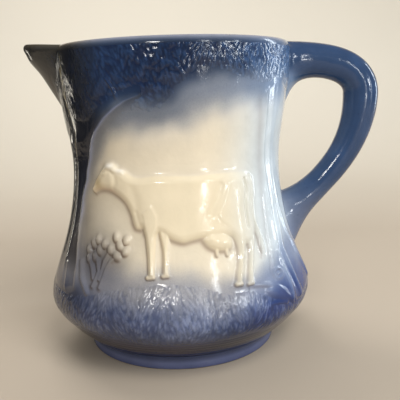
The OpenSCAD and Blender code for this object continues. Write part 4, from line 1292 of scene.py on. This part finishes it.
def handle_line():
    """Middle line of the handle, its directions and its radii: two cubic arms that meet at the bend, spread
    at the roots, slimmed along the lower arm, and cut off where they are sunk deep into the wall."""
    steps = 150
    top_root = (wall_r(HANDLE_TOP_Z) - WALL_T, HANDLE_TOP_Z)
    low_root = (wall_r(HANDLE_LOW_Z) - WALL_T, HANDLE_LOW_Z)
    bend = (HANDLE_REACH - GRIP_R, mix(HANDLE_LOW_Z, HANDLE_TOP_Z, 0.78))
    top_arm = [top_root,
               (mix(top_root[0], bend[0], 0.85), HANDLE_TOP_Z + JUG_H * 0.015),
               (bend[0], mix(bend[1], HANDLE_TOP_Z, 0.45)),
               bend]
    low_arm = [bend,
               (bend[0], mix(bend[1], HANDLE_LOW_Z, 0.42)),
               (mix(low_root[0], bend[0], 0.5), mix(HANDLE_LOW_Z, bend[1], 0.21)),
               low_root]
    top_line, top_way = cubic(top_arm, steps)
    low_line, low_way = cubic(low_arm, steps)
    s = np.linspace(0.0, 1.0, steps)
    mid_r = mix(GRIP_LOW_R, GRIP_R, 0.5)
    top_r = mix(mid_r, GRIP_R, s) + (ROOT_TOP_R - mid_r) * np.clip((0.3 - s) / 0.3, 0, 1) ** 2
    low_r = mix(GRIP_R, GRIP_LOW_R, s) + (ROOT_LOW_R - GRIP_LOW_R) * np.clip((s - 0.6) / 0.4, 0, 1) ** 2
    line = np.vstack([top_line, low_line[1:]])
    way = np.vstack([top_way, low_way[1:]])
    slim = np.concatenate([0.0 * s, 1.25 * ramp(s, 0.0, 0.5)[1:]])
    radius = np.concatenate([top_r, low_r[1:]]) - slim
    line = line - slim[:, None] * np.column_stack([way[:, 1], -way[:, 0]])
    kept = line[:, 0] > wall_r(line[:, 1]) - ROOT_SINK
    return line[kept], way[kept], radius[kept]


def handle_piece():
    """The handle: an oval section carried along its line, then flared and drawn down against the wall by
    amounts that fall off with the distance from it."""
    cols = 96
    line, way, radius = handle_line()
    turn = np.linspace(0.0, 2.0 * math.pi, cols)[None, :]
    across = np.cos(turn)[..., None] * np.stack([way[:, 1], 0 * way[:, 0], -way[:, 0]], axis=-1)[:, None, :]
    level = 0.94 * np.sin(turn)[..., None] * np.array([0.0, 1.0, 0.0])
    spoke = across + level
    middle = np.stack([line[:, 0], 0 * line[:, 0], line[:, 1]], axis=-1)[:, None, :]
    points = middle + radius[:, None, None] * spoke
    z = points[..., 2].copy()
    held = wall_r(np.clip(z, FOOT_H, JUG_H))
    off = np.maximum(np.hypot(points[..., 0], points[..., 1]) - held, 0.0)
    room = ramp(JUG_H - 1.0 - z, 0.0, 6.0)
    low = ramp(118.0 - z, 0.0, 20.0)
    above = np.clip(spoke[..., 2], 0.0, 1.0)
    below = np.clip(-spoke[..., 2], 0.0, 1.0)
    flare = mix(3.2 * np.exp(-off / 4.0), 2.6 * np.exp(-off / 6.0) * (1.0 - 0.8 * above), low)
    points = points + (flare * room)[..., None] * spoke
    top_drop = 9.0 * np.exp(-off / 3.0) + 5.0 * np.exp(-off / 8.0)
    drop = below * mix(top_drop, 7.0 * bell(off, 10.0), low)
    held = wall_r(np.clip(points[..., 2], FOOT_H, JUG_H))
    points[..., 2] -= drop
    slip = (held - wall_r(np.clip(points[..., 2], FOOT_H, JUG_H))) * np.exp(-off / 8.0) * (1.0 - low)
    points[..., 0] -= 1.15 * slip
    angle = np.degrees(np.arctan2(points[..., 0], -points[..., 1]))
    base, _ = jug_colour(angle, np.clip(points[..., 2], 20.0, JUG_H))
    worn = ramp(swell(points[..., 0], points[..., 2], 41, 18.0), 0.2, 1.0)
    colour = tint(HANDLE_BLUE, SKY_COBALT, 0.25 * worn)
    colour = tint(colour, LOW_HANDLE, 0.7 * low * ramp(100.0 - points[..., 2], 0.0, 22.0))
    colour = tint(colour, base, mix(ramp(drop, 0.6, 5.0), 0.9 * np.exp(-off / 4.5), low))
    rows = len(line)
    at = np.arange(cols - 1)
    start = np.stack([rows * cols + 0 * at, at + 1, at], axis=-1)
    end = np.stack([rows * cols + 1 + 0 * at, (rows - 1) * cols + at, (rows - 1) * cols + at + 1], axis=-1)
    points = np.concatenate([points.reshape(-1, 3), middle[0], middle[-1]])
    colours = np.concatenate([colour.reshape(-1, 3), colour[0, :1], colour[-1, :1]])
    tris = np.concatenate([halves(grid_quads(rows, cols)), start, end])
    put_welded("looped_handle", points, tris, colours, 0.9, ["handle"], handle_glaze)


wall_piece()
lip_piece()
spout_piece()
floor_piece()
foot_piece()
handle_piece()
canopy_pieces()
grass_pieces()
cow_pieces()
tree_pieces("spout_tree_relief", "spout_tree", -89.0, -14.0, 170, spout_tree_height)
tree_pieces("handle_tree_relief", "handle_tree", 28.0, 89.0, 142, handle_tree_height)
flower_pieces()


# Floor, light and camera

def paper(near, far):
    """Plain pale paper, one tone on the floor and a paler one on the backdrop, mixed along Y."""
    material, nodes, links, shader = new_material("pale_paper")
    place = nodes.new("ShaderNodeTexCoord")
    split = nodes.new("ShaderNodeSeparateXYZ")
    share = nodes.new("ShaderNodeMapRange")
    share.inputs["From Min"].default_value = 0.25
    share.inputs["From Max"].default_value = 0.95
    tone = nodes.new("ShaderNodeMix")
    tone.data_type = "RGBA"
    tone.inputs[6].default_value = lit(near)
    tone.inputs[7].default_value = lit(far)
    links.new(place.outputs["Object"], split.inputs["Vector"])
    links.new(split.outputs["Y"], share.inputs["Value"])
    links.new(share.outputs["Result"], tone.inputs[0])
    links.new(tone.outputs[2], shader.inputs["Base Color"])
    shader.inputs["Roughness"].default_value = 0.6
    shader.inputs["Specular IOR Level"].default_value = 0.2
    return material


def sweep():
    """The set: a level floor that curves up into a backdrop behind the jug."""
    turn = np.radians(np.linspace(0.0, 90.0, 16))
    profile = [(-9.0, 0.0), (0.55, 0.0)]
    profile += [(0.55 + 0.5 * math.sin(t), 0.5 - 0.5 * math.cos(t)) for t in turn[1:]]
    profile += [(1.05, 2.6)]
    points = [(x, y, z) for y, z in profile for x in (-12.0, 12.0)]
    faces = [(2 * i, 2 * i + 1, 2 * i + 3, 2 * i + 2) for i in range(len(profile) - 1)]
    mesh = bpy.data.meshes.new("pale_floor")
    mesh.from_pydata(points, [], faces)
    mesh.shade_smooth()
    mesh.materials.append(paper((0.74, 0.69, 0.625), (0.93, 0.90, 0.84)))
    floor = bpy.data.objects.new("pale_floor", mesh)
    bpy.context.scene.collection.objects.link(floor)


# Lamps: name, place, height on the axis that it is aimed at, width and height, power, colour
LAMPS = [("side_window", (0.95, 0.30, 0.32), 0.10, (0.12, 0.75), 2.8, (0.84, 0.93, 1.0)),
         ("front_window", (0.73, -1.25, 0.50), 0.10, (0.035, 0.46), 1.9, (0.94, 0.98, 1.0)),
         ("small_window", (0.62, -1.20, 0.10), 0.10, (0.08, 0.10), 0.9, (1.0, 1.0, 0.99)),
         ("high_window", (-0.38, -1.24, 0.54), 0.05, (0.20, 0.09), 3.0, (1.0, 0.985, 0.94)),
         ("tall_window", (1.20, -0.64, 0.32), 0.10, (0.035, 0.60), 1.3, (0.84, 0.93, 1.0)),
         ("right_window", (1.05, -0.82, 0.36), 0.05, (0.14, 0.12), 1.8, (0.92, 0.97, 1.0)),
         ("left_strip", (-0.50, 0.30, 0.10), 0.10, (0.02, 0.12), 0.07, (1.0, 0.93, 0.80)),
         ("roof", (0.42, -0.75, 1.10), 0.06, (0.7, 0.7), 10.3, (1.0, 0.99, 0.975)),
         ("back_roof", (-0.35, 0.60, 1.10), 0.06, (0.7, 0.7), 7.0, (1.0, 0.99, 0.975))]


def softbox(name, place, aim_z, size, power, colour):
    """A rectangular lamp at a place, aimed at a point on the axis, its size in metres."""
    lamp = bpy.data.lights.new(name, "AREA")
    lamp.shape = "RECTANGLE"
    lamp.size, lamp.size_y = size
    lamp.energy = power
    lamp.color = colour
    holder = bpy.data.objects.new(name, lamp)
    away = np.array(place) - np.array((0.0, 0.0, aim_z))
    away = away / np.linalg.norm(away)
    side = np.cross((0.0, 0.0, 1.0), away)
    side = side / np.linalg.norm(side)
    up = np.cross(away, side)
    holder.matrix_world = Matrix([[side[0], up[0], away[0], place[0]],
                                  [side[1], up[1], away[1], place[1]],
                                  [side[2], up[2], away[2], place[2]],
                                  [0.0, 0.0, 0.0, 1.0]])
    bpy.context.scene.collection.objects.link(holder)
    return holder


def dark_card():
    """A dark card that stands out of the frame on the left, for the dark side of a glossy jug."""
    mesh = bpy.data.meshes.new("dark_card")
    x, y_low, y_high, top = -0.62, 0.12, 1.0, 0.7
    corners = [(x, y_low, 0.002), (x, y_high, 0.002), (x, y_high, top), (x, y_low, top)]
    mesh.from_pydata(corners, [], [(0, 1, 2, 3)])
    material, _, _, shader = new_material("dark_card")
    shader.inputs["Base Color"].default_value = (0.045, 0.042, 0.038, 1.0)
    shader.inputs["Roughness"].default_value = 0.9
    mesh.materials.append(material)
    card = bpy.data.objects.new("dark_card", mesh)
    bpy.context.scene.collection.objects.link(card)
    card.visible_camera = False


def lights():
    """Room light: seven windows that show as highlights, two soft roofs that don't, and a dim room."""
    for lamp in LAMPS:
        holder = softbox(*lamp)
        holder.visible_glossy = not holder.name.endswith("roof")
    world = bpy.data.worlds.new("room")
    bpy.context.scene.world = world
    world.use_nodes = True
    room = world.node_tree.nodes["Background"]
    room.inputs["Color"].default_value = (0.93, 0.92, 0.92, 1.0)
    room.inputs["Strength"].default_value = 0.27


def camera():
    """The photograph's viewpoint: placed by distance, height, turn, tilt and roll, and a focal length."""
    distance, height = 0.360, 0.1521
    pitch, roll, yaw = 0.1834, -0.0307, 0.038
    focal, photo_width = 582.7, 400.0
    ahead = np.array([math.sin(yaw) * math.cos(pitch), math.cos(yaw) * math.cos(pitch), -math.sin(pitch)])
    right = np.array([math.cos(yaw), -math.sin(yaw), 0.0])
    up = np.cross(right, ahead)
    side = right * math.cos(roll) + up * math.sin(roll)
    top = -right * math.sin(roll) + up * math.cos(roll)
    lens = bpy.data.cameras.new("camera")
    lens.sensor_width = 36.0
    lens.lens = focal / photo_width * lens.sensor_width
    holder = bpy.data.objects.new("camera", lens)
    place = (0.0, -distance, height)
    rows = [[side[k], top[k], -ahead[k], place[k]] for k in range(3)]
    holder.matrix_world = Matrix(rows + [[0.0, 0.0, 0.0, 1.0]])
    bpy.context.scene.collection.objects.link(holder)
    bpy.context.scene.camera = holder


sweep()
dark_card()
lights()
camera()
bpy.context.scene.view_settings.view_transform = "Standard"
